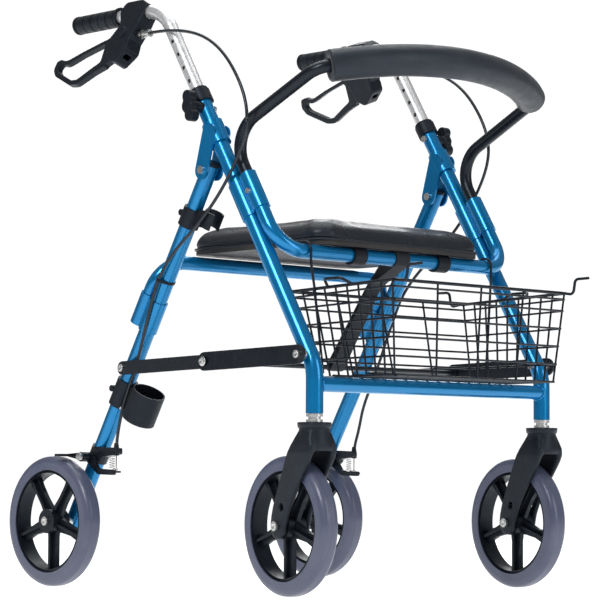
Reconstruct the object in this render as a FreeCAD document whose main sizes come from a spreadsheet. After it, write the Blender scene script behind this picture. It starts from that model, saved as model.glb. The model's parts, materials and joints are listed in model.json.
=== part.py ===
"""Four-wheeled rollator walker with a fold-up frame, seat, wire basket and loop brakes.

Frame of the part: +Z up, the walker rolls forward along -Y, its right side is -X.
The origin lies on the floor below the centre of the whole walker's box.  Millimetres.
"""
import FreeCAD
import Part
import Sketcher
import math
import os
from FreeCAD import Placement, Rotation, Vector

X_AXIS = Vector(1, 0, 0)
Y_AXIS = Vector(0, 1, 0)
Z_AXIS = Vector(0, 0, 1)

doc = FreeCAD.newDocument("rollator")

# ---------------------------------------------------------------------------
# Driving dimensions
# ---------------------------------------------------------------------------
DIMENSIONS = [
    ("side_offset", 250, "centre plane to the plane of each side frame"),
    ("leg_diameter", 25.4, "outer diameter of the leg tubes"),
    ("leg_bore", 22.36, "inner diameter of the front legs, a running fit on the handle tube"),
    ("leg_angle", 31, "lean of the front legs from the vertical, degrees"),
    ("leg_bend_radius", 70, "centreline radius of the front leg's bend"),
    ("stem_y", -247, "plane of the caster stems"),
    ("leg_bottom", 263.5, "lower end of the front legs"),
    ("leg_top", 754, "upper end of the front legs"),
    ("leg_top_y", 6.2, "place of the front leg's axis at leg_top"),
    ("pivot_y", -18, "main folding hinge"),
    ("pivot_z", 632.5, "main folding hinge"),
    ("rear_axle_y", 296, "rear axle"),
    ("wheel_radius", 101.5, "eight inch wheels"),
    ("tyre_width", 30, "tread width of the tyres"),
    ("rim_radius", 84, "outside of the rim, inside of the tyre"),
    ("rear_wheel_offset", 290, "centre plane to the middle of each rear wheel"),
    ("caster_trail", 58, "stem axis to front axle"),
    ("caster_angle", 8, "how far both casters stand turned at rest, degrees"),
    ("bar_diameter", 22, "outer diameter of the seat bars and the crossbar"),
    ("bar_bore", 19, "inner diameter of the seat bars and the crossbar"),
    ("backrest_diameter", 19, "outer diameter of the backrest tube"),
    ("backrest_bore", 16, "inner diameter of the backrest tube"),
    ("bore_spacing", 25, "leg axis to the second bore of a twin sleeve"),
    ("seat_bar_bend", 46, "centreline radius of the seat bars' bends"),
    ("crossbar_z", 306, "lower crossbar"),
    ("bolt_diameter", 6, "frame bolts"),
    ("axle_diameter", 8, "wheel axles"),
    ("running_gap", 0.05, "radial clearance of pivots and axles"),
    ("strut_front_length", 200, "front leg bolt to centre hinge"),
    ("strut_front_z", 348, "height of the front strut bolt"),
    ("strut_rear_distance", 341, "main hinge to the rear strut bolt, along the rear leg"),
    ("strut_thickness", 3, "thickness of the flat strut bars"),
    ("strut_front_width", 28, "width of the front strut bars"),
    ("strut_rear_width", 21, "width of the rear strut bars"),
    ("handle_diameter", 22.2, "outer diameter of the handle tubes"),
    ("handle_bore", 19, "inner diameter of the handle tubes"),
    ("handle_z", 893, "height of the grips' axis"),
    ("handle_bend_radius", 62, "centreline radius of the handle's bend"),
    ("handle_end_y", 290, "rear end of the handle tubes"),
    ("handle_low_z", 600, "lower end of the handle tubes, inside the legs"),
    ("hole_pitch", 25.4, "spacing of the height holes"),
    ("knob_z", 728.5, "height adjusting knob"),
    ("grip_diameter", 29, "hand grips"),
    ("brake_tilt", 20, "outward lean of the hand brakes below the grips, degrees"),
    ("seat_half_width", 182, "half of the seat's width"),
    ("seat_front_y", -192, "front edge of the seat"),
    ("seat_rear_y", 112, "rear edge of the seat"),
    ("seat_bottom_z", 516.5, "underside of the seat board"),
    ("board_thickness", 7, "seat board"),
    ("cushion_top_z", 556.5, "crown of the cushion"),
    ("seat_corner", 34, "corner radius of the seat"),
    ("backrest_half_width", 238, "half of the backrest at the ends of its foam"),
    ("foam_diameter", 48, "backrest foam sleeve"),
    ("wire_diameter", 3.2, "basket wires"),
    ("rim_wire", 5, "basket rim wire and hooks"),
    ("basket_top_z", 455, "basket rim"),
    ("basket_floor_z", 319, "basket floor"),
    ("basket_half_top", 190, "half width of the basket at its rim"),
    ("basket_half_floor", 175, "half width of the basket's floor"),
    ("basket_front_top", -344, "front of the rim"),
    ("basket_front_floor", -334, "front of the floor"),
    ("basket_rear_top", -136, "rear of the rim"),
    ("basket_rear_floor", -166, "rear of the floor"),
    ("basket_rim_fall", 8, "how much lower the rim is at its rear"),
    ("cable_diameter", 5, "brake cable casing"),
]

sheet = doc.addObject("Spreadsheet::Sheet", "dims")
for row, (alias, value, meaning) in enumerate(DIMENSIONS, start=1):
    sheet.set("A%d" % row, alias)
    sheet.set("B%d" % row, str(value))
    sheet.set("C%d" % row, meaning)
    sheet.setAlias("B%d" % row, alias)
doc.recompute()


def dim(alias):
    """The value of one cell of the sheet."""
    return float(sheet.get(alias))


# ---------------------------------------------------------------------------
# Geometry worked out from the driving dimensions
# ---------------------------------------------------------------------------
SIDE = dim("side_offset")
ANGLE = math.radians(dim("leg_angle"))
LEG_UP = Vector(0, math.sin(ANGLE), math.cos(ANGLE))
LEG_OUT = Vector(0, -math.cos(ANGLE), math.sin(ANGLE))
PIVOT = Vector(-SIDE, dim("pivot_y"), dim("pivot_z"))
AXLE_Z = dim("wheel_radius")
REAR_AXLE = Vector(-SIDE, dim("rear_axle_y"), AXLE_Z)
REAR_DOWN = (REAR_AXLE - PIVOT).normalize()
REAR_OUT = Vector(0, -REAR_DOWN.z, REAR_DOWN.y)
STRUT_REAR = PIVOT + REAR_DOWN * dim("strut_rear_distance")
LEG_R = dim("leg_diameter") / 2
BAR_R = dim("bar_diameter") / 2
TILT = math.radians(dim("brake_tilt"))


def leg_point(height, offset=0.0):
    """Point on the right front leg's axis at a height, shifted forward of it by offset."""
    rise = height - dim("leg_top")
    on_axis = Vector(-SIDE, dim("leg_top_y") + rise * math.tan(ANGLE), height)
    return on_axis + LEG_OUT * offset


def rear_point(distance, offset=0.0):
    """Point on the right rear leg's axis below the main hinge, shifted rearward by offset."""
    return PIVOT + REAR_DOWN * distance + REAR_OUT * offset


STRUT_FRONT = leg_point(dim("strut_front_z"))
STRUT_REACH = (STRUT_REAR - STRUT_FRONT).normalize()
STRUT_CENTRE = STRUT_FRONT + STRUT_REACH * dim("strut_front_length")


# ---------------------------------------------------------------------------
# Helpers: document objects
# ---------------------------------------------------------------------------
exported = []


def name_part(obj, label):
    """Give an object its own label and list it for export."""
    obj.Label = label
    exported.append(obj)
    return obj


def turn(direction, base=Vector(0, 0, 0)):
    """Placement that takes +Z to a direction at a base point."""
    return Placement(base, Rotation(Z_AXIS, direction))


def cylinder(name, radius, height, base, direction):
    """Cylinder from a base point; radius and height are expressions or numbers."""
    obj = doc.addObject("Part::Cylinder", name)
    for prop, value in (("Radius", radius), ("Height", height)):
        if isinstance(value, str):
            obj.setExpression(prop, value)
        else:
            setattr(obj, prop, value)
    obj.Placement = turn(direction, base)
    return obj


def across(name, radius, centre, half_length):
    """Cylinder along X, centred on a point."""
    return cylinder(name, radius, 2 * half_length, centre - X_AXIS * half_length, X_AXIS)


def box(name, size, centre, rotation=Rotation()):
    """Box of a size given as numbers or expressions, centred on a point."""
    obj = doc.addObject("Part::Box", name)
    for prop, value in zip(("Length", "Width", "Height"), size):
        if isinstance(value, str):
            obj.setExpression(prop, value)
        else:
            setattr(obj, prop, value)
    doc.recompute()
    plain = Vector(obj.Length.Value, obj.Width.Value, obj.Height.Value)
    obj.Placement = Placement(centre - rotation.multVec(plain * 0.5), rotation)
    return obj


def fuse(name, pieces):
    obj = doc.addObject("Part::MultiFuse", name)
    obj.Shapes = pieces
    obj.Refine = True
    return obj


def cut(name, base, tool):
    obj = doc.addObject("Part::Cut", name)
    obj.Base = base
    obj.Tool = tool
    return obj


def cut_all(name, base, tools):
    """Cut several tools, which may overlap each other, from a base."""
    result = base
    for number, tool in enumerate(tools, start=1):
        result = cut("%s_cut%d" % (name, number), result, tool)
    return result


def group(name, pieces):
    """Separate solids kept together in one node."""
    obj = doc.addObject("Part::Compound", name)
    obj.Links = pieces
    return obj


def mirrored(name, source):
    """The left-hand twin of a right-hand piece."""
    obj = doc.addObject("Part::Mirroring", name)
    obj.Source = source
    obj.Normal = X_AXIS
    obj.Base = Vector(0, 0, 0)
    return obj


def both_sides(label, right):
    """One node with a right-hand piece and its left-hand twin."""
    twin = mirrored(label + "_twin", right)
    return name_part(group(label, [right, twin]), label)


def right_and_left(label, right):
    """Two nodes: LABEL_right and LABEL_left."""
    name_part(right, label + "_right")
    name_part(mirrored(label + "_left", right), label + "_left")


def shape_feature(name, shape, placement=None):
    """A piece whose shape is made by code, placed after its shape is set."""
    obj = doc.addObject("Part::Feature", name)
    obj.Shape = shape
    if placement is not None:
        obj.Placement = placement
    return obj


# ---------------------------------------------------------------------------
# Helpers: paths and outlines
# ---------------------------------------------------------------------------
def rounded_edges(points, radii, closed=False):
    """Straight runs between points, joined by tangent arcs; one radius per inner point."""
    count = len(points)
    if isinstance(radii, (int, float)):
        radii = [radii] * count
    entries = []
    for i, corner in enumerate(points):
        before = points[i - 1]
        after = points[(i + 1) % count]
        ends = not closed and i in (0, count - 1)
        to_before = (before - corner)
        to_after = (after - corner)
        if ends or to_before.getAngle(to_after) > math.pi - 1e-4 or radii[i] <= 0:
            entries.append((corner, None, corner))
            continue
        to_before.normalize()
        to_after.normalize()
        half = to_before.getAngle(to_after) / 2
        reach = radii[i] / math.tan(half)
        bisector = (to_before + to_after).normalize()
        middle = corner + bisector * (radii[i] / math.sin(half) - radii[i])
        entries.append((corner + to_before * reach, middle, corner + to_after * reach))
    edges = []
    for i, (start, middle, end) in enumerate(entries):
        if middle is not None:
            edges.append(Part.Arc(start, middle, end))
        last = i == count - 1
        if last and not closed:
            break
        following = entries[(i + 1) % count][0]
        if (following - end).Length > 1e-6:
            edges.append(Part.LineSegment(end, following))
    return edges


def path_wire(points, radii):
    return Part.Wire([edge.toShape() for edge in rounded_edges(points, radii)])


def pipe(name, points, radii, radius):
    """Solid round bar swept along rounded runs; the radius is an expression."""
    path = shape_feature(name + "_path", path_wire(points, radii))
    profile = doc.addObject("Part::Circle", name + "_profile")
    profile.setExpression("Radius", radius)
    profile.Placement = turn(points[1] - points[0], points[0])
    sweep = doc.addObject("Part::Sweep", name)
    sweep.Sections = [profile]
    sweep.Spine = (path, ["Edge%d" % (i + 1) for i in range(len(path.Shape.Edges))])
    sweep.Solid = True
    sweep.Frenet = False
    return sweep


def tube(name, points, radii, outer, inner):
    """Hollow round tube swept along rounded runs."""
    return cut(name, pipe(name + "_outside", points, radii, outer),
               pipe(name + "_inside", points, radii, inner))


def new_body(name):
    return doc.addObject("PartDesign::Body", name)


def plane_of(body, role):
    return next(plane for plane in body.Origin.OriginFeatures if plane.Role == role)


def new_sketch(body, role="XY_Plane"):
    sketch = body.newObject("Sketcher::SketchObject", body.Name + "_sketch")
    sketch.AttachmentSupport = [(plane_of(body, role), "")]
    sketch.MapMode = "FlatFace"
    return sketch


def sketch_circle(sketch, radius, centre=(0.0, 0.0)):
    """Circle whose radius is an expression, at a fixed place."""
    index = sketch.addGeometry(Part.Circle(Vector(centre[0], centre[1], 0), Z_AXIS, 5), False)
    if centre == (0.0, 0.0):
        sketch.addConstraint(Sketcher.Constraint("Coincident", index, 3, -1, 1))
    else:
        sketch.addConstraint(Sketcher.Constraint("DistanceX", -1, 1, index, 3, centre[0]))
        sketch.addConstraint(Sketcher.Constraint("DistanceY", -1, 1, index, 3, centre[1]))
    size = sketch.addConstraint(Sketcher.Constraint("Radius", index, 5))
    sketch.setExpression("Constraints[%d]" % size, radius)


def sketch_outline(sketch, points, radii, fixed=True):
    """Closed outline of rounded corners in the sketch's own two axes."""
    corners = [Vector(a, b, 0) for a, b in points]
    first = len(sketch.Geometry)
    for edge in rounded_edges(corners, radii, closed=True):
        index = sketch.addGeometry(edge, False)
        if fixed:
            sketch.addConstraint(Sketcher.Constraint("Block", index))
    return first


def pad(body, sketch, length, symmetric=True):
    feature = body.newObject("PartDesign::Pad", body.Name + "_pad")
    feature.Profile = sketch
    feature.setExpression("Length", length)
    if symmetric:
        feature.SideType = "Symmetric"
    body.Tip = feature
    return feature


def pocket_through(body, sketch, name):
    feature = body.newObject("PartDesign::Pocket", name)
    feature.Profile = sketch
    feature.Type = "ThroughAll"
    feature.SideType = "Symmetric"
    body.Tip = feature
    return feature


def revolve(body, sketch, axis=("V_Axis",)):
    feature = body.newObject("PartDesign::Revolution", body.Name + "_turned")
    feature.Profile = sketch
    feature.ReferenceAxis = (sketch, list(axis))
    feature.Angle = 360
    body.Tip = feature
    return feature


def turned(name, profile, base, direction, radii=0.0):
    """Turned piece: profile points are (radius, distance along the axis)."""
    body = new_body(name)
    sketch = new_sketch(body, "XZ_Plane")
    sketch_outline(sketch, profile, radii)
    revolve(body, sketch)
    body.Placement = turn(direction, base)
    return body


def plate(name, points, radii, thickness, centre_x):
    """Flat plate in the side plane; points are (y, z); thickness is an expression."""
    body = new_body(name)
    sketch = new_sketch(body, "YZ_Plane")
    sketch_outline(sketch, points, radii)
    pad(body, sketch, thickness)
    body.Placement = Placement(Vector(centre_x, 0, 0), Rotation())
    return body


def slot_points(start, end, half_width):
    """Corners of a bar with round ends between two points of the side plane."""
    along = (end - start).normalize()
    side = Vector(0, -along.z, along.y) * half_width
    reach = along * half_width
    corners = [start - reach + side, start - reach - side, end + reach - side, end + reach + side]
    return [(corner.y, corner.z) for corner in corners]


def leg_along(point):
    """Height on the front leg's axis of the foot of the perpendicular from a point."""
    top = leg_point(dim("leg_top"))
    return (top + LEG_UP * (point - top).dot(LEG_UP)).z


# ---------------------------------------------------------------------------
# Front frame: legs, sleeves, bars
# ---------------------------------------------------------------------------
stem_corner_z = dim("leg_top") - (dim("leg_top_y") - dim("stem_y")) / math.tan(ANGLE)
leg_foot = Vector(-SIDE, dim("stem_y"), dim("leg_bottom"))
leg_corner = Vector(-SIDE, dim("stem_y"), stem_corner_z)
leg_path = [leg_foot, leg_corner, leg_point(dim("leg_top"))]
leg_bend = dim("leg_bend_radius")

leg_solid = pipe("front_leg_outside", leg_path, leg_bend, "dims.leg_diameter / 2")
leg_hollow = pipe("front_leg_inside", leg_path, leg_bend, "dims.leg_bore / 2")
front_leg = cut("front_leg_tube", leg_solid, leg_hollow)
knob_place = leg_point(dim("knob_z"))
leg_holes = [
    across("front_strut_bolt_hole", "dims.bolt_diameter / 2", STRUT_FRONT, 20),
    across("knob_screw_hole", "dims.bolt_diameter / 2 + dims.running_gap", knob_place, 20),
]
front_leg = cut_all("front_leg", front_leg, leg_holes)
both_sides("front_legs", front_leg)

# Collar pressed over the top of the leg, bushing pressed into its foot.
collar_low = leg_point(736)
collar = cylinder("collar_outside", 16.5, 20, collar_low, LEG_UP)
collar_lip = cylinder("collar_lip", 15, 4, collar_low + LEG_UP * 20, LEG_UP)
collar_boss = across("collar_boss", 9, knob_place - X_AXIS * 14, 9)
collar_tools = [
    cylinder("collar_leg_bore", "dims.leg_diameter / 2", (dim("leg_top") - 736) / math.cos(ANGLE),
             collar_low, LEG_UP),
    cylinder("collar_tube_bore", "dims.leg_bore / 2", 60, collar_low, LEG_UP),
    cylinder("collar_boss_trim", "dims.leg_diameter / 2", 60, leg_point(705), LEG_UP),
    across("collar_screw_hole", "dims.bolt_diameter / 2 + dims.running_gap", knob_place, 40),
]
collar = cut_all("handle_collar", fuse("collar_blank", [collar, collar_lip, collar_boss]), collar_tools)
bushing = cut("stem_bushing",
              cylinder("stem_bushing_outside", "dims.leg_bore / 2", 44, leg_foot, Z_AXIS),
              cylinder("stem_bushing_bore", "6 + dims.running_gap", 44, leg_foot, Z_AXIS))
both_sides("leg_fittings", group("leg_fitting_pair", [collar, bushing]))

# Twin sleeve: one bore on the leg, a second one in front of it for seat bar and backrest.
SPACING = dim("bore_spacing")
sleeve_low = leg_point(554)
sleeve_length = 53 / math.cos(ANGLE)


def twin_sleeve(name, low, direction, outward, length, steps):
    """Two joined sleeves; steps are (radius, start, end) of the free bore."""
    leg_side = cylinder(name + "_leg_side", 14.9, length, low, direction)
    free_side = cylinder(name + "_free_side", 13.2, length, low + outward * SPACING, direction)
    web_turn = Rotation(X_AXIS, outward, direction, "XZY")
    web = box(name + "_web", (16, SPACING, length),
              low + outward * (SPACING / 2) + direction * (length / 2), web_turn)
    blank = fuse(name + "_blank", [leg_side, free_side, web])
    tools = [cylinder(name + "_leg_bore", "dims.leg_diameter / 2", length, low, direction)]
    for number, (radius, start, end) in enumerate(steps):
        base = low + outward * SPACING + direction * start
        tools.append(cylinder("%s_bore%d" % (name, number), radius, end - start, base, direction))
    return cut_all(name, blank, tools)


socket_split = 24
snap_reach = 31
snap_place = sleeve_low + LEG_OUT * SPACING + LEG_UP * snap_reach
front_sleeve = twin_sleeve("front_sleeve_body", sleeve_low, LEG_UP, LEG_OUT, sleeve_length,
                           [("dims.bar_diameter / 2", 0, socket_split),
                            ("dims.backrest_diameter / 2 + dims.running_gap", socket_split,
                             sleeve_length)])
front_sleeve = cut("front_sleeve", front_sleeve,
                   across("snap_hole", "4 + dims.running_gap", snap_place - X_AXIS * 15, 13))
both_sides("front_sleeves", front_sleeve)

# Hinge bracket: a sleeve on the front leg with an ear on each side of the rear leg.
bracket_low = leg_point(670)
bracket_sleeve = cylinder("bracket_sleeve", 16.5, 33 / math.cos(ANGLE), bracket_low, LEG_UP)
ear_gap = LEG_R + 0.5
ear_middle = leg_point(688)
ears = []
for number, side in enumerate((-1, 1)):
    ears.append(plate("bracket_ear%d" % number, slot_points(PIVOT, ear_middle, 14), 13.9, "3",
                      -SIDE + side * (ear_gap + 1.5)))
bracket = cut_all("hinge_bracket", fuse("bracket_blank", [bracket_sleeve] + ears), [
    cylinder("bracket_leg_bore", "dims.leg_diameter / 2", 90, leg_point(650), LEG_UP),
    across("bracket_bolt_hole", "dims.bolt_diameter / 2", PIVOT, 30),
])
both_sides("hinge_brackets", bracket)

# Front seat bar: across below the seat, both ends turned up into the twin sleeves.
front_bar_top = sleeve_low + LEG_OUT * SPACING + LEG_UP * socket_split
front_bar_z = 505
front_bar_drop = (front_bar_top.z - front_bar_z) / math.cos(ANGLE)
front_bar_corner = front_bar_top - LEG_UP * front_bar_drop
FRONT_BAR_Y = front_bar_corner.y


def to_left(point):
    return Vector(-point.x, point.y, point.z)


def across_walker(points):
    """A path given up to the centre plane, continued to the other side."""
    return points + [to_left(point) for point in reversed(points)]


bend = dim("seat_bar_bend")
name_part(tube("front_seat_bar_tube", across_walker([front_bar_top, front_bar_corner]), bend,
               "dims.bar_diameter / 2", "dims.bar_bore / 2"), "front_seat_bar")

# Lower crossbar, welded between the legs.
crossbar_end = Vector(-SIDE, dim("stem_y"), dim("crossbar_z"))
crossbar = cut("crossbar_tube",
               across("crossbar_outside", "dims.bar_diameter / 2", Vector(0, crossbar_end.y, crossbar_end.z),
                      SIDE),
               across("crossbar_inside", "dims.bar_bore / 2", Vector(0, crossbar_end.y, crossbar_end.z),
                      SIDE + 1))
leg_clear = pipe("crossbar_cope_right", leg_path, leg_bend, "dims.leg_diameter / 2")
leg_clear_left = mirrored("crossbar_cope_left", leg_clear)
name_part(cut_all("crossbar_coped", crossbar, [leg_clear, leg_clear_left]), "front_crossbar")


# ---------------------------------------------------------------------------
# Rear frame: legs, sleeves, bar
# ---------------------------------------------------------------------------
rear_length = (REAR_AXLE - PIVOT).Length
rear_base = rear_point(-10)
rear_outside = cylinder("rear_leg_outside", "dims.leg_diameter / 2", rear_length + 26, rear_base, REAR_DOWN)
rear_inside = cylinder("rear_leg_inside", 11, rear_length + 26, rear_base, REAR_DOWN)
brake_pivot = rear_point((dim("pivot_z") - 202.3) / -REAR_DOWN.z)
rear_leg = cut_all("rear_leg", rear_outside, [
    rear_inside,
    across("rear_leg_hinge_hole", "dims.bolt_diameter / 2 + dims.running_gap", PIVOT, 20),
    across("rear_leg_strut_hole", "dims.bolt_diameter / 2", STRUT_REAR, 20),
    across("rear_leg_axle_hole", "dims.axle_diameter / 2", REAR_AXLE, 20),
    across("rear_leg_brake_hole", "dims.bolt_diameter / 2", brake_pivot, 20),
])
both_sides("rear_legs", rear_leg)

# Black plugs closing both ends of the rear legs.
plug_top = fuse("top_plug_blank", [
    cylinder("top_plug_stem", 11, 22, rear_point(-10), REAR_DOWN),
    cylinder("top_plug_head", "dims.leg_diameter / 2", 4, rear_point(-14), REAR_DOWN),
])
plug_top = cut("top_plug", plug_top,
               across("top_plug_hole", "dims.bolt_diameter / 2 + dims.running_gap", PIVOT, 20))
plug_low = fuse("low_plug", [
    cylinder("low_plug_stem", 11, 8, rear_point(rear_length + 8), REAR_DOWN),
    cylinder("low_plug_head", "dims.leg_diameter / 2", 3, rear_point(rear_length + 16), REAR_DOWN),
])
both_sides("rear_leg_plugs", group("rear_plug_pair", [plug_top, plug_low]))

rear_sleeve_top = (dim("pivot_z") - 441) / -REAR_DOWN.z
rear_sleeve_length = 52
rear_sleeve_low = rear_point(rear_sleeve_top + rear_sleeve_length)
REAR_UP = REAR_DOWN * -1
rear_sleeve = twin_sleeve("rear_sleeve", rear_sleeve_low, REAR_UP, REAR_OUT, rear_sleeve_length,
                          [("dims.bar_diameter / 2", 0, rear_sleeve_length)])
both_sides("rear_sleeves", rear_sleeve)

rear_bar_end = rear_sleeve_low + REAR_OUT * SPACING + REAR_UP * 2
rear_bar_z = 502
rear_bar_corner = rear_bar_end + REAR_UP * ((rear_bar_z - rear_bar_end.z) / REAR_UP.z)
name_part(tube("rear_seat_bar_tube", across_walker([rear_bar_end, rear_bar_corner]), bend,
               "dims.bar_diameter / 2", "dims.bar_bore / 2"), "rear_seat_bar")


# ---------------------------------------------------------------------------
# Bolts
# ---------------------------------------------------------------------------
def bolt(name, start, end, radius="dims.bolt_diameter / 2", head=5.0, nut=5.0):
    """Bolt along X: domed head outside start, nut outside end."""
    along = (end - start).normalize()
    shank = cylinder(name + "_shank", radius, (end - start).Length, start, along)
    cap = cylinder(name + "_head", head, 3, start - along * 3, along)
    pieces = [shank, cap]
    if nut:
        pieces.append(cylinder(name + "_nut", nut, 4, end, along))
    return fuse(name, pieces)


def at_x(point, x):
    return Vector(x, point.y, point.z)


EAR_OUT = ear_gap + 3
LINK_REAR = 269.2
LINK_FRONT = LINK_REAR + dim("strut_thickness") + 0.4
LINK_FACE = LINK_FRONT + dim("strut_thickness")
hinge_bolt = bolt("hinge_bolt", at_x(PIVOT, -SIDE - EAR_OUT), at_x(PIVOT, -SIDE + EAR_OUT), head=6.5, nut=6)
strut_spacer_front = cylinder("front_spacer", 7, LINK_FRONT - 0.4 - SIDE - LEG_R,
                              at_x(STRUT_FRONT, -LINK_FRONT + 0.4), X_AXIS)
front_strut_bolt = fuse("front_strut_bolt", [
    cylinder("front_strut_shank", "dims.bolt_diameter / 2", LINK_FACE + 0.4 - SIDE + LEG_R,
             at_x(STRUT_FRONT, -LINK_FACE - 0.4), X_AXIS),
    cylinder("front_strut_head", 6, 3.5, at_x(STRUT_FRONT, -LINK_FACE - 3.9), X_AXIS),
    cylinder("front_strut_nut", 5.5, 4, at_x(STRUT_FRONT, -SIDE + LEG_R), X_AXIS),
])
spacer_trim = cylinder("front_spacer_trim", "dims.leg_diameter / 2", 60, leg_point(320), LEG_UP)
front_fastener = cut("front_strut_fastener", fuse("front_strut_blank", [strut_spacer_front, front_strut_bolt]),
                     cut("spacer_trim_shell", spacer_trim,
                         across("spacer_trim_keep", "dims.bolt_diameter / 2", STRUT_FRONT, 30)))
rivet = fuse("knob_side_rivet", [
    cylinder("rivet_stub", 3, 1.6, at_x(knob_place, -SIDE + LEG_R - 1.6), X_AXIS),
    cylinder("rivet_head", 5.5, 1.5, at_x(knob_place, -SIDE + LEG_R + 4), X_AXIS),
    cylinder("rivet_neck", 3, 4, at_x(knob_place, -SIDE + LEG_R), X_AXIS),
])
both_sides("front_frame_bolts", group("front_bolt_set", [hinge_bolt, front_fastener, rivet]))

# Rear: strut bolt with spacer, wheel axle with spacer.
rear_trim = cylinder("rear_trim", "dims.leg_diameter / 2", 60, rear_point(dim("strut_rear_distance") - 30),
                     REAR_DOWN)
rear_strut_bolt = fuse("rear_strut_blank", [
    cylinder("rear_strut_spacer", 7, LINK_REAR - 0.4 - SIDE, at_x(STRUT_REAR, -LINK_REAR + 0.4), X_AXIS),
    cylinder("rear_strut_shank", "dims.bolt_diameter / 2", LINK_REAR + 3.4 - SIDE + LEG_R,
             at_x(STRUT_REAR, -LINK_REAR - 3.4), X_AXIS),
    cylinder("rear_strut_head", 6, 3.5, at_x(STRUT_REAR, -LINK_REAR - 6.9), X_AXIS),
    cylinder("rear_strut_nut", 5.5, 4, at_x(STRUT_REAR, -SIDE + LEG_R), X_AXIS),
])
rear_fastener = cut("rear_strut_fastener", rear_strut_bolt,
                    cut("rear_trim_shell", rear_trim,
                        across("rear_trim_keep", "dims.bolt_diameter / 2", STRUT_REAR, 30)))

AXLE_R = dim("axle_diameter") / 2
WHEEL_X = dim("rear_wheel_offset")
HUB_HALF = 16
axle_trim = cylinder("axle_trim", "dims.leg_diameter / 2", 60, rear_point(rear_length - 30), REAR_DOWN)
rear_axle = fuse("rear_axle_blank", [
    cylinder("rear_axle_spacer", 9, WHEEL_X - HUB_HALF - 0.3 - SIDE,
             at_x(REAR_AXLE, -WHEEL_X + HUB_HALF + 0.3), X_AXIS),
    cylinder("rear_axle_shank", "dims.axle_diameter / 2", WHEEL_X + HUB_HALF + 0.4 - SIDE + LEG_R,
             at_x(REAR_AXLE, -WHEEL_X - HUB_HALF - 0.4), X_AXIS),
    cylinder("rear_axle_head", 7, 4, at_x(REAR_AXLE, -WHEEL_X - HUB_HALF - 4.4), X_AXIS),
    cylinder("rear_axle_nut", 7, 5, at_x(REAR_AXLE, -SIDE + LEG_R), X_AXIS),
])
rear_axle = cut("rear_axle", rear_axle,
                cut("axle_trim_shell", axle_trim,
                    across("axle_trim_keep", "dims.axle_diameter / 2", REAR_AXLE, 30)))
CLAMP_R = 15.7
brake_screw = fuse("brake_screw", [
    cylinder("brake_screw_shank", "dims.bolt_diameter / 2", 287 - SIDE + CLAMP_R,
             at_x(brake_pivot, -287), X_AXIS),
    cylinder("brake_screw_head", 6, 4, at_x(brake_pivot, -291), X_AXIS),
    cylinder("brake_screw_nut", 5.5, 4, at_x(brake_pivot, -SIDE + CLAMP_R), X_AXIS),
])
both_sides("rear_frame_bolts", group("rear_bolt_set", [rear_fastener, rear_axle, brake_screw]))


# ---------------------------------------------------------------------------
# Folding struts
# ---------------------------------------------------------------------------
def strut(name, start, end, half_width, inner_face, holes):
    thickness = dim("strut_thickness")
    bar = plate(name + "_bar", slot_points(start, end, half_width), half_width - 0.1,
                "dims.strut_thickness", -inner_face - thickness / 2)
    tools = [across("%s_hole%d" % (name, n), radius, at_x(point, -inner_face - thickness / 2), 6)
             for n, (point, radius) in enumerate(holes)]
    return cut_all(name, bar, tools)


pin_hole = "dims.bolt_diameter / 2 + dims.running_gap"
front_strut = strut("front_strut", STRUT_FRONT, STRUT_CENTRE, dim("strut_front_width") / 2, LINK_FRONT,
                    [(STRUT_FRONT, pin_hole)])
centre_rivet = cylinder("centre_rivet", 6.5, 3, at_x(STRUT_CENTRE, -LINK_FACE - 3), X_AXIS)
both_sides("front_strut_bars", fuse("front_strut_riveted", [front_strut, centre_rivet]))

rear_strut = strut("rear_strut", STRUT_CENTRE, STRUT_REAR, dim("strut_rear_width") / 2, LINK_REAR,
                   [(STRUT_REAR, pin_hole)])
both_sides("rear_strut_bars", rear_strut)
name_part(across("strut_crossbar_rod", 4, Vector(0, STRUT_CENTRE.y, STRUT_CENTRE.z), LINK_REAR),
          "strut_crossbar")


# ---------------------------------------------------------------------------
# Wheels
# ---------------------------------------------------------------------------
RIM_R = dim("rim_radius")
TYRE_R = dim("wheel_radius")
TYRE_HALF = dim("tyre_width") / 2


def wheel_rim(name):
    """Rim with five ribbed spokes about the origin, axle along X, a spoke pointing down."""
    ring_body = new_body(name + "_ring")
    ring_sketch = new_sketch(ring_body, "XY_Plane")
    sketch_outline(ring_sketch, [(-13, 75.5), (13, 75.5), (11, RIM_R - 4), (13, RIM_R),
                                 (-13, RIM_R), (-11, RIM_R - 4)], 0)
    revolve(ring_body, ring_sketch, ("H_Axis",))
    hub = across(name + "_hub", 19, Vector(0, 0, 0), HUB_HALF)
    pieces = [ring_body, hub]
    for number in range(5):
        spin = Rotation(X_AXIS, 72 * number + 180)
        spoke = plate("%s_spoke%d" % (name, number),
                      [(-12, 10), (12, 10), (7.5, 50), (11, 77.5), (-11, 77.5), (-7.5, 50)], 0, "7", 0)
        spoke.Placement = Placement(Vector(0, 0, 0), spin)
        rib = box("%s_rib%d" % (name, number), (20, 4.5, 66), Vector(0, 0, 0))
        rib.Placement = Placement(spin.multVec(Vector(-10, -2.25, 12)), spin)
        pieces += [spoke, rib]
    blank = fuse(name + "_blank", pieces)
    return cut(name + "_body", blank, across(name + "_bearing_seat", 11, Vector(0, 0, 0), HUB_HALF))


def bearing(name, side):
    """Bearing ring pressed into one end of the hub."""
    inner = side * (HUB_HALF - 7)
    start = min(inner, side * HUB_HALF)
    ring = cylinder(name + "_outside", 11, 7, Vector(start, 0, 0), X_AXIS)
    return cut(name, ring, cylinder(name + "_bore", "dims.axle_diameter / 2 + dims.running_gap", 7,
                                    Vector(start, 0, 0), X_AXIS))


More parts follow.
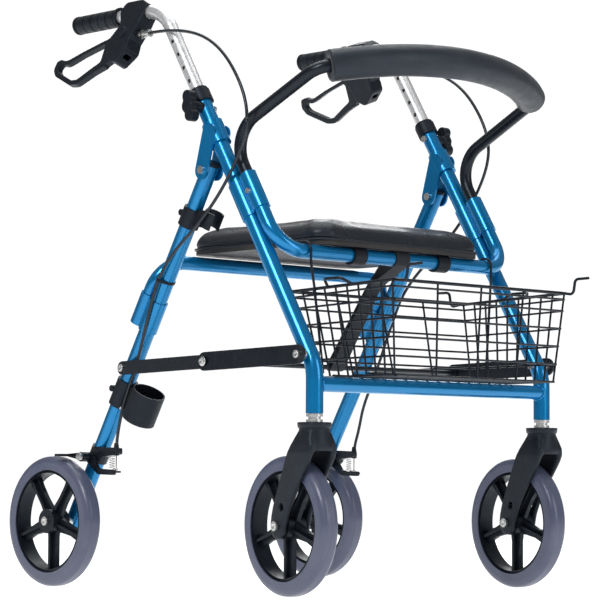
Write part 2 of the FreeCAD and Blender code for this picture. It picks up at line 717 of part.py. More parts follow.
def hub_tube(name):
    """Spacer tube between the two bearings."""
    return cut(name, across(name + "_outside", 11, Vector(0, 0, 0), HUB_HALF - 7),
               across(name + "_bore", 6, Vector(0, 0, 0), HUB_HALF - 7))


def tyre(name):
    """Soft tyre with a rounded tread, about the origin, axle along X."""
    body = new_body(name)
    sketch = new_sketch(body, "XY_Plane")
    crown = [(-TYRE_HALF, 80), (-13, 80), (-13, RIM_R), (13, RIM_R), (13, 80), (TYRE_HALF, 80),
             (TYRE_HALF, TYRE_R), (-TYRE_HALF, TYRE_R)]
    sketch_outline(sketch, crown, [0.7, 0, 0, 0, 0, 0.7, 10, 10])
    revolve(body, sketch, ("H_Axis",))
    return body


def wheel(label, placement):
    pieces = [wheel_rim(label + "_rim"), bearing(label + "_bearing_in", 1),
              bearing(label + "_bearing_out", -1), hub_tube(label + "_spacer")]
    rim = group(label + "_rim_group", pieces)
    rim.Placement = placement
    name_part(rim, label + "_rim")
    rubber = tyre(label + "_tyre_body")
    rubber.Placement = placement
    name_part(rubber, label + "_tyre")


for label, side in (("rear_right", -1), ("rear_left", 1)):
    wheel(label, Placement(Vector(side * WHEEL_X, REAR_AXLE.y, AXLE_Z), Rotation()))


# ---------------------------------------------------------------------------
# Casters
# ---------------------------------------------------------------------------
TRAIL = dim("caster_trail")
ARM_IN = HUB_HALF + 0.5
ARM_OUT = ARM_IN + 9.5
CAP_TOP = dim("leg_bottom") - 12.5
fork_arm_points = [(-21, 232), (21, 232), (40, 190), (TRAIL + 17, 118), (TRAIL + 17, 84),
                   (TRAIL - 17, 84), (TRAIL - 17, 118), (-13, 205)]


def rounded_section(half_x, half_y, corner, height):
    """Closed wire of a rounded rectangle, level at a height."""
    flat_x = half_x - corner
    flat_y = half_y - corner
    slope = corner * math.sqrt(0.5)
    edges = []
    for sx, sy in ((1, 1), (-1, 1), (-1, -1), (1, -1)):
        first = Vector(sx * half_x, sy * flat_y, height)
        last = Vector(sx * flat_x, sy * half_y, height)
        middle = Vector(sx * (flat_x + slope), sy * (flat_y + slope), height)
        if sx * sy < 0:
            first, last = last, first
        edges.append(Part.Arc(first, middle, last).toShape())
    wires = []
    for number, edge in enumerate(edges):
        following = edges[(number + 1) % 4]
        wires += [edge, Part.makeLine(edge.valueAt(edge.LastParameter), following.valueAt(following.FirstParameter))]
    return Part.Wire(wires)


def fork_arm(name, sign):
    """Flat-sided fork arm whose outer rim is rounded."""
    blank = plate(name + "_blank", fork_arm_points, [6, 6, 40, 16.5, 16.5, 16.5, 16.5, 30], "9.5",
                  sign * (ARM_IN + ARM_OUT) / 2)
    doc.recompute()
    rim = [edge for edge in blank.Shape.Edges
           if all(abs(corner.X - sign * ARM_OUT) < 0.01 for corner in edge.Vertexes)]
    return shape_feature(name, blank.Shape.makeFillet(5, rim))


def caster(label, side):
    """Fork and stem on the stem's own axis, then turned and carried to the leg."""
    place = Placement(Vector(side * SIDE, dim("stem_y"), 0), Rotation(Z_AXIS, -dim("caster_angle")))
    arms = [fork_arm("%s_arm%d" % (label, n), sign) for n, sign in enumerate((-1, 1))]
    crown = shape_feature(label + "_crown", Part.makeLoft([
        rounded_section(ARM_OUT - 0.6, 20, 13, 209),
        rounded_section(ARM_OUT - 1.6, 20, 15, 219),
        rounded_section(23, 20, 18, 232),
        rounded_section(20.2, 20.1, 19.5, 246),
    ], True))
    neck = cylinder(label + "_neck", 20, 8, Vector(0, 0, 240), Z_AXIS)
    cap = cylinder(label + "_cap", 24.3, 8, Vector(0, 0, CAP_TOP - 8), Z_AXIS)
    axle_at = Vector(0, TRAIL, AXLE_Z)
    upper_hole = Vector(0, TRAIL - 12, AXLE_Z + 26)
    fork = cut_all(label + "_fork_body", fuse(label + "_fork_blank", arms + [crown, neck, cap]), [
        across(label + "_axle_holes", "dims.axle_diameter / 2", axle_at, 40),
        across(label + "_upper_holes", 4.5, upper_hole, 40),
        cylinder(label + "_stem_hole", 6, 60, Vector(0, 0, 212), Z_AXIS),
    ])
    fork.Placement = place
    name_part(fork, label + "_fork")
    stem = fuse(label + "_stem_turned", [
        cylinder(label + "_stem_shank", 6, 40 + dim("leg_bottom") - 216, Vector(0, 0, 216), Z_AXIS),
        cylinder(label + "_washer_low", 12, 4, Vector(0, 0, CAP_TOP), Z_AXIS),
        cylinder(label + "_washer_mid", 9, 4, Vector(0, 0, CAP_TOP + 4), Z_AXIS),
        cylinder(label + "_washer_top", 12, 4, Vector(0, 0, CAP_TOP + 8), Z_AXIS),
    ])
    axle = fuse(label + "_axle", [
        across(label + "_axle_shank", "dims.axle_diameter / 2", axle_at, ARM_OUT),
        cylinder(label + "_axle_head", 7, 4, axle_at - X_AXIS * (ARM_OUT + 4), X_AXIS),
        cylinder(label + "_axle_nut", 6.5, 5, axle_at + X_AXIS * ARM_OUT, X_AXIS),
    ])
    hardware = group(label + "_hardware", [stem, axle])
    hardware.Placement = place
    name_part(hardware, label + "_stem")
    wheel(label.replace("caster", "front"), place * Placement(axle_at, Rotation()))


caster("caster_right", -1)
caster("caster_left", 1)


# ---------------------------------------------------------------------------
# Handles and hand brakes
# ---------------------------------------------------------------------------
HANDLE_Z = dim("handle_z")
handle_corner = leg_point(HANDLE_Z)
handle_end = Vector(-SIDE, dim("handle_end_y"), HANDLE_Z)
handle_points = [leg_point(dim("handle_low_z")), handle_corner, handle_end]
handle = tube("handle_bent", handle_points, dim("handle_bend_radius"), "dims.handle_diameter / 2",
              "dims.handle_bore / 2")
height_holes = []
for number in range(6):
    rise = (number - 1) * dim("hole_pitch")
    place = knob_place + LEG_UP * (rise + dim("hole_pitch"))
    height_holes.append(across("height_hole%d" % number, 3.4, place, 14))
right_and_left("handle_tube", cut_all("handle_drilled", handle, height_holes))

grip_start = 190
grip_end = 296
grip_ribs = [cylinder("grip_body", 13.8, grip_end - grip_start, Vector(-SIDE, grip_start, HANDLE_Z), Y_AXIS)]
rib_count = 5
rib_pitch = (grip_end - grip_start - 14) / rib_count
for number in range(rib_count):
    place = Vector(-SIDE, grip_start + 8 + number * rib_pitch, HANDLE_Z)
    grip_ribs.append(cylinder("grip_rib%d" % number, "dims.grip_diameter / 2", rib_pitch * 0.84, place, Y_AXIS))
grip_ribs.append(cylinder("grip_flange", 16, 4, Vector(-SIDE, grip_start, HANDLE_Z), Y_AXIS))
grip_ribs.append(cylinder("grip_tail", 14.8, 4, Vector(-SIDE, grip_end - 4, HANDLE_Z), Y_AXIS))
grip = cut("grip_bored", fuse("grip_blank", grip_ribs),
           cylinder("grip_bore", "dims.handle_diameter / 2", dim("handle_end_y") - grip_start,
                    Vector(-SIDE, grip_start, HANDLE_Z), Y_AXIS))
right_and_left("grip", grip)

# The brakes are drawn upright about the grip axis, then leaned outward about it.
brake_place = Placement(Vector(-SIDE, 0, HANDLE_Z), Rotation(Y_AXIS, dim("brake_tilt")))


def in_brake(y, down, x=0.0):
    """Point of the leaned brake plane: along the walker, distance below the grip axis."""
    return brake_place.multVec(Vector(x, y, -down))


def brake_plate(name, points, radii, thickness):
    return plate(name, [(y, -down) for y, down in points], radii, thickness, 0)


housing_outline = [(117, -8), (131, -17), (170, -17), (180, -3), (170, 22), (190, 50), (178, 80),
                   (160, 90), (136, 69), (137, 50), (124, 22)]
housing_radii = [5, 9, 8, 6, 8, 7, 7, 9, 8, 5, 6]
lever_pivot = (151, 37)
TONGUE_HALF = 6
housing_solid = brake_plate("housing_solid", housing_outline, housing_radii, "28")
lever_slot = box("housing_slot", (2 * TONGUE_HALF + 1.2, 66, 61), Vector(0, 175, -48.5))
lever_mouth = box("housing_mouth", (2 * TONGUE_HALF + 1.2, 40, 30), Vector(0, 192, -88))
housing = cut_all("housing_body", housing_solid, [
    cylinder("housing_tube_bore", "dims.handle_diameter / 2", 120, Vector(0, 90, 0), Y_AXIS),
    lever_slot,
    lever_mouth,
    cylinder("housing_cable_bore", 3.2, 60, Vector(0, 110, -39), Y_AXIS),
])
lever_pin = across("lever_pin", "dims.bolt_diameter / 2", Vector(0, lever_pivot[0], -lever_pivot[1]), 15)
pin_seat = across("pin_seat", "dims.bolt_diameter / 2", Vector(0, lever_pivot[0], -lever_pivot[1]), 14)
housing = group("housing_group", [cut("housing_drilled", housing, pin_seat), lever_pin])
housing.Placement = brake_place
right_and_left("brake_housing", housing)

# Closed finger loop with a tongue that turns in the housing.
loop_outer = [(190, 37), (209, 41), (257, 54.5), (293, 66.5), (308, 61.5), (318, 64), (321, 79), (312, 91),
              (268, 112), (250, 113), (216, 97), (190, 88)]
loop_inner = [(204, 46), (256, 60.5), (291, 73.5), (306, 70), (311, 77), (304, 85.5), (266, 103.5),
              (252, 104), (224, 89), (204, 79)]
loop = brake_plate("lever_loop", loop_outer, [3, 20, 30, 24, 8, 6, 10, 12, 14, 14, 16, 3], "11")
loop_hole = brake_plate("lever_opening", loop_inner, [5, 30, 20, 5, 5, 9, 11, 11, 13, 6], "16")
tongue = brake_plate("lever_tongue", [(144, 26), (164, 26), (201, 39), (201, 90.5), (172, 76), (144, 52)],
                     [6, 10, 2, 2, 14, 8], "2 * 6")
lever = cut_all("lever_body", fuse("lever_blank", [cut("lever_ring", loop, loop_hole), tongue]), [
    across("lever_pin_hole", "dims.bolt_diameter / 2 + dims.running_gap",
           Vector(0, lever_pivot[0], -lever_pivot[1]), 12),
])
lever.Placement = brake_place
right_and_left("brake_lever", lever)

# Barrel adjuster screwed into the front of the housing; the casing ends in it.
barrel_front = 105
barrel_down = 39
adjuster = fuse("adjuster_blank", [
    cylinder("adjuster_thread", 3.2, 33, Vector(0, barrel_front + 3, -barrel_down), Y_AXIS),
    cylinder("adjuster_barrel", 5.8, 14, Vector(0, barrel_front, -barrel_down), Y_AXIS),
    cylinder("adjuster_nut", 6.8, 4, Vector(0, barrel_front + 17, -barrel_down), Y_AXIS),
])
adjuster = cut("adjuster_body", adjuster,
               cylinder("adjuster_bore", "dims.cable_diameter / 2", 6, Vector(0, barrel_front, -barrel_down),
                        Y_AXIS))
adjuster.Placement = brake_place
right_and_left("cable_adjuster", adjuster)

# Height knob: two lobes and a short screw that reaches the handle tube.
knob_start = -SIDE - 23.5
knob_lobes = [cylinder("knob_core", 11, 14, Vector(knob_start - 16, knob_place.y, knob_place.z), X_AXIS)]
for number, lean in enumerate((88, 250)):
    angle = math.radians(lean)
    for step, (reach, radius) in enumerate(((9, 8), (15, 9.5))):
        centre = knob_place + Vector(0, math.cos(angle), math.sin(angle)) * reach
        knob_lobes.append(cylinder("knob_lobe%d_%d" % (number, step), radius, 14,
                                   at_x(centre, knob_start - 16), X_AXIS))
knob_lobes.append(cylinder("knob_neck", 8.5, 2.4, at_x(knob_place, knob_start - 2), X_AXIS))
knob_lobes.append(cylinder("knob_screw", "dims.bolt_diameter / 2", -knob_start - SIDE - 11.4,
                           at_x(knob_place, knob_start), X_AXIS))
right_and_left("height_knob", fuse("knob_body", knob_lobes))


# ---------------------------------------------------------------------------
# Rear brakes
# ---------------------------------------------------------------------------
clamp_low = rear_point(505)
stop_tip = Vector(-257, 181, 211)
arm_tip = Vector(-265, 182, 178)
bracket_turn = Rotation(X_AXIS, REAR_OUT, REAR_DOWN, "XZY")
upper_arm = plate("brake_bracket_arm", [(174, 206), (230, 200), (238, 212), (228, 218), (174, 216)],
                  [3, 2, 2, 4, 3], "10", -SIDE - 9)
clamp_ring = cylinder("brake_clamp", CLAMP_R, 22, rear_point(483), REAR_DOWN)
cable_seat = Vector(-262, 179, 204)
brake_bracket = cut_all("brake_bracket", fuse("brake_bracket_blank", [upper_arm, clamp_ring]), [
    cylinder("brake_clamp_bore", "dims.leg_diameter / 2", 90, rear_point(450), REAR_DOWN),
    cylinder("brake_stop_hole", "dims.cable_diameter / 2 + 0.5", 16, cable_seat, Z_AXIS),
    across("brake_bracket_screw_hole", "dims.bolt_diameter / 2", brake_pivot, 30),
])
both_sides("brake_brackets", brake_bracket)

arm_hub_in = SIDE + 16.4
arm_hub_out = 286.5
hub_cyl = cylinder("brake_arm_hub", 7.5, arm_hub_out - arm_hub_in, at_x(brake_pivot, -arm_hub_out), X_AXIS)
arm_plate = plate("brake_arm_lever", [(brake_pivot.y + 6, 196), (brake_pivot.y + 2, 208),
                                      (brake_pivot.y - 8, 207), (212, 184), (174, 182), (174, 174),
                                      (214, 175)], [3, 4, 4, 8, 3, 3, 8], "4", -arm_hub_in - 2)
tip_pad = box("brake_arm_tip", (11, 26, 3), Vector(-264, 185, 179))
blade_link = plate("brake_blade_link", [(brake_pivot.y - 5, 198), (brake_pivot.y + 5, 198), (268, 202.5),
                                        (268, 207), (brake_pivot.y, 209)], [2, 2, 1, 1, 4], "8",
                   -arm_hub_out + 4)
blade = box("brake_blade", (36, 10, 4), Vector(-295, 263, 204.8))
brake_arm = cut("brake_arm_body", fuse("brake_arm_blank", [hub_cyl, arm_plate, tip_pad, blade_link, blade]),
                across("brake_arm_hole", "dims.bolt_diameter / 2 + dims.running_gap",
                       at_x(brake_pivot, -280), 30))
right_and_left("brake_arm", brake_arm)

# Return spring between the fixed stop and the arm.
spring_low = Vector(-261, 190, 180.8)
spring_turns = 6
spring_height = 22.4
helix = Part.makeHelix(spring_height / spring_turns, spring_height, 4.2)
wire_profile = Part.Wire([Part.makeCircle(0.6, Vector(4.2, 0, 0), Y_AXIS)])
coil = Part.Wire(helix).makePipeShell([wire_profile], True, True)
spring = shape_feature("brake_spring", coil, Placement(spring_low, Rotation()))
both_sides("brake_springs", spring)


# ---------------------------------------------------------------------------
# Cane holder on the right rear leg
# ---------------------------------------------------------------------------
FORWARD = REAR_OUT * -1
CUP_OUT = 53
cup_top = 353
cup_low = 403
cup_axis = rear_point(cup_top, -CUP_OUT)
cup = cut_all("cane_cup_body", fuse("cane_cup_blank", [
    cylinder("cup_wall", 26, cup_low - cup_top, cup_axis, REAR_DOWN),
    cylinder("cup_clamp", 16.4, 44, rear_point(362), REAR_DOWN),
    box("cup_neck", (12, 28, 36), rear_point(382, -20), Rotation(X_AXIS, REAR_OUT, REAR_DOWN, "XZY")),
    across("cup_bolt", 5, rear_point(386, 17), 12),
]), [
    cylinder("cup_hollow", 24, cup_low - cup_top - 3, cup_axis, REAR_DOWN),
    cylinder("cup_leg_bore", "dims.leg_diameter / 2", 120, rear_point(345), REAR_DOWN),
])
name_part(cup, "cane_cup")

clip_mid = rear_point((dim("pivot_z") - 565) / -REAR_DOWN.z)
clip_turn = Rotation(X_AXIS, REAR_OUT, REAR_DOWN, "XZY")
clip_axis = clip_mid + Vector(0, -47, -8)
clip_length = 26
clip = cut_all("cane_clip_body", fuse("cane_clip_blank", [
    cylinder("clip_clamp", 16.2, 30, clip_mid - REAR_DOWN * 15, REAR_DOWN),
    cylinder("clip_ring", 15, clip_length, clip_axis - REAR_DOWN * (clip_length / 2), REAR_DOWN),
    box("clip_arm", (12, 26, 24), clip_mid + Vector(0, -24, -4), Rotation(X_AXIS, -80)),
    across("clip_bolt", 5, clip_mid + REAR_OUT * 16, 10),
]), [
    cylinder("clip_leg_bore", "dims.leg_diameter / 2", 60, clip_mid - REAR_DOWN * 30, REAR_DOWN),
    cylinder("clip_hollow", 12, 40, clip_axis - REAR_DOWN * 20, REAR_DOWN),
    box("clip_mouth", (18, 20, 40), clip_axis + FORWARD * 14, clip_turn),
])
name_part(clip, "cane_clip")


# ---------------------------------------------------------------------------
# Backrest
# ---------------------------------------------------------------------------
PAD_X = dim("backrest_half_width")
backrest_start = sleeve_low + LEG_OUT * SPACING + LEG_UP * (socket_split + 0.5)
elbow_z = 683
elbow = backrest_start + LEG_UP * ((elbow_z - backrest_start.z) / math.cos(ANGLE))
pad_end = Vector(-PAD_X - 2, -238, 766)
pad_middle = Vector(0, -378, 813.5)
backrest_points = across_walker([backrest_start, elbow, pad_end])
backrest_points.insert(3, pad_middle)
backrest_radii = [0, 50, 36, 415, 36, 50, 0]
backrest = tube("backrest_bent", backrest_points, backrest_radii, "dims.backrest_diameter / 2",
                "dims.backrest_bore / 2")
snap_holes = [
    across("backrest_snap_right", "4 + dims.running_gap", snap_place - X_AXIS * 15, 13),
    across("backrest_snap_left", "4 + dims.running_gap", to_left(snap_place) + X_AXIS * 15, 13),
]
name_part(cut_all("backrest_drilled", backrest, snap_holes), "backrest_tube")

foam_in = pad_end + (pad_middle - pad_end).normalize() * 19.5
foam_points = [foam_in, pad_middle, to_left(foam_in)]
foam = cut("backrest_sleeve",
           pipe("foam_outside", foam_points, 415, "dims.foam_diameter / 2"),
           pipe("foam_inside", foam_points, 415, "dims.backrest_diameter / 2"))
name_part(foam, "backrest_foam")

snap = fuse("snap_pin", [
    cylinder("snap_shank", 4, 13.5, at_x(snap_place, -SIDE - 16.5), X_AXIS),
    cylinder("snap_flange", 5.5, 1.5, at_x(snap_place, -SIDE - 4.5), X_AXIS),
])
right_and_left("snap_button", snap)


# ---------------------------------------------------------------------------
# Brake cables
# ---------------------------------------------------------------------------
def easy_radii(points, share=0.45, largest=220):
    """The widest bend radius each corner allows while leaving room for its neighbours."""
    radii = [0.0]
    for before, corner, after in zip(points, points[1:], points[2:]):
        turn_angle = math.pi - (before - corner).getAngle(after - corner)
        run = min((corner - before).Length, (after - corner).Length)
        radii.append(min(share * run / math.tan(turn_angle / 2), largest))
    return radii + [0.0]


cable_start = in_brake(barrel_front + 6, barrel_down)
cable_points = [
    cable_start,
    Vector(-265, 39, 857),
    Vector(-268, -58, 822),
    Vector(-268, -122, 733),
    Vector(-268, -118, 665),
    Vector(-269, -46, 571),
    Vector(-270, 65, 495),
    Vector(-267, 100, 420),
    Vector(-263, 131, 342),
    Vector(-263, 158.5, 292),
    Vector(-264.5, 170, 252),
    Vector(-262, 179, 222),
    Vector(-262, 179, 204),
]
cable_radii = easy_radii(cable_points)
casing = pipe("cable_casing", cable_points, cable_radii, "dims.cable_diameter / 2")
path_length = path_wire(cable_points, cable_radii).Length
inner_wire = cylinder("cable_inner_wire", 0.8, 23, Vector(-262, 179, 181), Z_AXIS)
right_and_left("brake_cable", group("brake_cable_set", [casing, inner_wire]))


# ---------------------------------------------------------------------------
# Seat
# ---------------------------------------------------------------------------
SEAT_HALF = dim("seat_half_width")
SEAT_FRONT = dim("seat_front_y")
SEAT_REAR = dim("seat_rear_y")
BOARD_Z = dim("seat_bottom_z")
BOARD_TOP = BOARD_Z + dim("board_thickness")


def rounded_slab(name, inset, thickness, base_z, corner):
    """Rounded rectangle of the seat's outline, drawn inside it by inset."""
    body = new_body(name)
    sketch = new_sketch(body, "XY_Plane")
    front = SEAT_FRONT + inset
    rear = SEAT_REAR - inset
    half = SEAT_HALF - inset
    sketch_outline(sketch, [(-half, front), (half, front), (half, rear), (-half, rear)], corner)
    pad(body, sketch, thickness, symmetric=False)
    body.Placement = Placement(Vector(0, 0, base_z), Rotation())
    return body


strap_relief = box("seat_board_relief", (34, 22, 4.6), Vector(0, FRONT_BAR_Y, BOARD_Z))
name_part(cut("seat_board_relieved", rounded_slab("seat_board_body", 3, "dims.board_thickness", BOARD_Z, 31),
              strap_relief), "seat_board")
cushion_low = rounded_slab("cushion_low", 0, "26", BOARD_TOP, dim("seat_corner"))
cushion_top = rounded_slab("cushion_top", 12, "dims.cushion_top_z - dims.seat_bottom_z - dims.board_thickness",
                           BOARD_TOP, 24)
cushion_mid = rounded_slab("cushion_mid", 5, "32", BOARD_TOP, 30)
name_part(fuse("cushion_body", [cushion_low, cushion_mid, cushion_top]), "seat_cushion")

front_bar_axis = Vector(0, FRONT_BAR_Y, front_bar_z)
seat_clip = cut_all("seat_clip_body", fuse("seat_clip_blank", [
    across("seat_clip_ring", 14.5, front_bar_axis - X_AXIS * 92, 13),
    box("seat_clip_flange", (26, 26, 5), Vector(-92, FRONT_BAR_Y + 22, BOARD_Z - 2.5)),
    cylinder("seat_clip_screw", 4.5, 7.5, Vector(-92, FRONT_BAR_Y + 28, BOARD_Z - 7.5), Z_AXIS),
]), [
    across("seat_clip_bore", "dims.bar_diameter / 2 + dims.running_gap", front_bar_axis - X_AXIS * 92, 14),
    box("seat_clip_trim", (30, 60, 20), Vector(-92, FRONT_BAR_Y, BOARD_Z + 10)),
])
both_sides("seat_clips", seat_clip)


def belt_outline(centre_a, radius_a, centre_b, radius_b, x):
    """Closed belt round two circles of the side plane, as a wire at x."""
    span = centre_b - centre_a
    along = Vector(span).normalize()
    side = Vector(0, -along.z, along.y)
    lean = (radius_a - radius_b) / span.Length
    rise = math.sqrt(1 - lean ** 2)
    corners = []
    for centre, radius in ((centre_a, radius_a), (centre_b, radius_b)):
        for sign in (-1, 1):
            point = centre + (along * lean + side * (rise * sign)) * radius
            corners.append(Vector(x, point.y, point.z))
    far_a = centre_a - along * radius_a
    far_b = centre_b + along * radius_b
    low_a, high_a, low_b, high_b = corners
    return Part.Wire([
        Part.LineSegment(low_a, low_b).toShape(),
        Part.Arc(low_b, Vector(x, far_b.y, far_b.z), high_b).toShape(),
        Part.LineSegment(high_b, high_a).toShape(),
        Part.Arc(high_a, Vector(x, far_a.y, far_a.z), low_a).toShape(),
    ])


strap_half = 15
strap_ply = 1.6
rod_axis = Vector(0, STRUT_CENTRE.y, STRUT_CENTRE.z)
strap_knee = Vector(0, -122, 466)


def strap_block(extra):
    """Solid inside the strap loop, bent where its two plies are sewn together, grown by extra."""
    upper = Part.Face(belt_outline(front_bar_axis, 11.3 + extra, strap_knee, 0.4 + extra, -strap_half))
    lower = Part.Face(belt_outline(strap_knee, 0.4 + extra, rod_axis, 4.3 + extra, -strap_half))
    return upper.extrude(X_AXIS * 2 * strap_half).fuse(lower.extrude(X_AXIS * 2 * strap_half))


strap_shape = strap_block(strap_ply).cut(strap_block(0))
name_part(shape_feature("seat_strap_loop", strap_shape), "seat_strap")


# ---------------------------------------------------------------------------
# Wire basket
# ---------------------------------------------------------------------------
WIRE_R = dim("wire_diameter") / 2
RIM_WIRE_R = dim("rim_wire") / 2
TOP_Z = dim("basket_top_z")
FLOOR_Z = dim("basket_floor_z")
HALF_TOP = dim("basket_half_top")
HALF_FLOOR = dim("basket_half_floor")
JOIN_GAP = 0.02


def wall_point(side_share, depth_share, height):
    """Point of the basket's wall surface: shares run -1..1 across and 0..1 front to rear."""
    rise = (height - FLOOR_Z) / (TOP_Z - FLOOR_Z)
    half = HALF_FLOOR + (HALF_TOP - HALF_FLOOR) * rise
    front = dim("basket_front_floor") + (dim("basket_front_top") - dim("basket_front_floor")) * rise
    rear = dim("basket_rear_floor") + (dim("basket_rear_top") - dim("basket_rear_floor")) * rise
    fall = dim("basket_rim_fall") * depth_share * rise
    return Vector(side_share * half, front + (rear - front) * depth_share, height - fall)


def rim_height(y):
    """Height of the side rim's axis at a place along the walker."""
    depth = dim("basket_rear_top") - dim("basket_front_top")
    return TOP_Z - dim("basket_rim_fall") * (y - dim("basket_front_top")) / depth


ROW_SHIFT = 2.3


def outside(point, across=0.0, along=0.0):
    """A point of a row, laid against the outer side of the uprights."""
    return point + Vector(across * ROW_SHIFT, along * ROW_SHIFT, 0)


def wire(name, start, end, radius="dims.wire_diameter / 2", trim_start=0.0, trim_end=0.0):
    along = (end - start).normalize()
    first = start + along * trim_start
    last = end - along * trim_end
    return cylinder(name, radius, (last - first).Length, first, along)


ROWS = [FLOOR_Z + share * (TOP_Z - FLOOR_Z) for share in (0.0, 0.2, 0.4, 0.6, 0.8, 0.93)]
SIDE_WIRES = 10


def side_panel(label, sign):
    """Side wall: corner posts, uprights, rows, rim with its arch, and the hanger over the seat bar."""
    pieces = []
    for number in range(SIDE_WIRES):
        share = number / (SIDE_WIRES - 1)
        pieces.append(wire("%s_upright%d" % (label, number), wall_point(sign, share, FLOOR_Z),
                           wall_point(sign, share, TOP_Z)))
    for number, height in enumerate(ROWS):
        pieces.append(wire("%s_row%d" % (label, number), outside(wall_point(sign, 0, height), sign),
                           outside(wall_point(sign, 1, height), sign)))
    rim_front = wall_point(sign, 0, TOP_Z)
    rim_rear = wall_point(sign, 1, TOP_Z)
    pieces.append(wire(label + "_rim", rim_front - Y_AXIS * RIM_WIRE_R, rim_rear + Y_AXIS * RIM_WIRE_R,
                       "dims.rim_wire / 2"))
    out = sign * (HALF_TOP + 1)
    arch_z = rim_height(-239) + 10
    arch = [Vector(out, -264, rim_height(-264)), Vector(sign * (HALF_TOP + 17), -256, arch_z),
            Vector(sign * (HALF_TOP + 17), -222, arch_z), Vector(out, -214, rim_height(-214))]
    pieces.append(pipe(label + "_arch", arch, 8, "dims.rim_wire / 2 - 0.3"))
    over = dim("bar_diameter") / 2 + RIM_WIRE_R + 0.4
    hang = sign * 199
    touch_z = rim_height(FRONT_BAR_Y - over) + 1
    foot = wall_point(sign, 0.62, FLOOR_Z + 6)
    hanger = [Vector(hang, FRONT_BAR_Y + over, front_bar_z - 8),
              Vector(hang, FRONT_BAR_Y + over, front_bar_z + over),
              Vector(hang, FRONT_BAR_Y - over, front_bar_z + over),
              Vector(hang, FRONT_BAR_Y - over, front_bar_z - 18),
              Vector(sign * (HALF_TOP + 3.6), FRONT_BAR_Y - over - 2, touch_z),
              Vector(foot.x + sign * 3.6, FRONT_BAR_Y - over - 6, foot.z)]
    pieces.append(pipe(label + "_hanger", hanger, [0, over - 0.3, over - 0.3, 14, 20, 0],
                       "dims.wire_diameter / 2 + 0.4"))
    return fuse(label + "_wires", pieces)


side_wires = side_panel("basket_side", -1)
name_part(side_wires, "basket_right")
name_part(mirrored("basket_side_twin", side_wires), "basket_left")

END_WIRES = 5


def end_panel(label, depth_share, outward):
    """Front or rear wall between the corner posts, with two corner hooks on the rim."""
    pieces = []
    shorten = WIRE_R + JOIN_GAP
    for number in range(1, END_WIRES - 1):
        share = -1 + 2 * number / (END_WIRES - 1)
        pieces.append(wire("%s_upright%d" % (label, number), wall_point(share, depth_share, FLOOR_Z),
                           wall_point(share, depth_share, TOP_Z)))
    for number, height in enumerate(ROWS):
        pieces.append(wire("%s_row%d" % (label, number), outside(wall_point(-1, depth_share, height), 0, outward),
                           outside(wall_point(1, depth_share, height), 0, outward),
                           "dims.wire_diameter / 2", shorten, shorten))
    rim_cut = RIM_WIRE_R + JOIN_GAP
    pieces.append(wire(label + "_rim", wall_point(-1, depth_share, TOP_Z), wall_point(1, depth_share, TOP_Z),
                       "dims.rim_wire / 2", rim_cut, rim_cut))
    rim_middle = wall_point(0, depth_share, TOP_Z)
    rim_y = rim_middle.y
    rim_z = rim_middle.z
    for number, sign in enumerate((-1, 1)):
        x = sign * 185
        hook = [Vector(x, rim_y, rim_z), Vector(x, rim_y + outward * 22, rim_z - 3),
                Vector(x, rim_y + outward * 26, rim_z + 20), Vector(x, rim_y + outward * 52, rim_z + 20.5)]
        pieces.append(pipe("%s_hook%d" % (label, number), hook, [0, 7, 7, 0], "dims.rim_wire / 2 - 0.3"))
    name_part(fuse(label + "_wires", pieces), label)


end_panel("basket_front", 0, -1)
end_panel("basket_rear", 1, 1)

floor_wires = []
near = wall_point(-1, 0, FLOOR_Z)
far = wall_point(1, 1, FLOOR_Z)
reach = ROW_SHIFT - WIRE_R - JOIN_GAP
FLOOR_COUNT = 15
for number in range(1, FLOOR_COUNT):
    x = near.x + (far.x - near.x) * number / FLOOR_COUNT
    floor_wires.append(wire("floor_long%d" % number, Vector(x, near.y - reach, FLOOR_Z),
                            Vector(x, far.y + reach, FLOOR_Z)))
for number in range(1, 4):
    y = near.y + (far.y - near.y) * number / 4
    level = FLOOR_Z + ROW_SHIFT
    floor_wires.append(wire("floor_cross%d" % number, Vector(near.x + 1, y, level), Vector(far.x - 1, y, level)))
name_part(fuse("basket_floor_wires", floor_wires), "basket_floor")


# ---------------------------------------------------------------------------
# Recompute, check and export
# ---------------------------------------------------------------------------
doc.recompute()
problems = []
for obj in doc.Objects:
    if "Invalid" in obj.State or "Error" in obj.State:
        problems.append("%s: %s" % (obj.Name, obj.State))
for obj in exported:
    if obj.Shape.isNull() or not obj.Shape.isValid() or obj.Shape.Volume <= 0:
        problems.append("%s: bad shape" % obj.Label)
if problems:
    raise RuntimeError("; ".join(problems))
os.makedirs("parts", exist_ok=True)
for obj in exported:
    obj.Shape.exportStep("parts/%s.step" % obj.Label)
whole = FreeCAD.BoundBox()
for obj in exported:
    whole.add(obj.Shape.BoundBox)
    print("%-24s solids %2d volume %10.1f" % (obj.Label, len(obj.Shape.Solids), obj.Shape.Volume))
print("box", whole)
print("cable radii", [round(radius) for radius in cable_radii])
print("cable volume %.0f, length x section %.0f"
      % (casing.Shape.Volume, path_length * math.pi * dim("cable_diameter") ** 2 / 4))
print(len(exported), "parts")
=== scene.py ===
"""Looks of the four-wheeled rollator walker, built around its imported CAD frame.

Metres throughout, in the frame of the CAD: +Z up, the walker rolls forward along -Y.
"""
import json
import math

import bpy
from mathutils import Matrix, Vector, noise


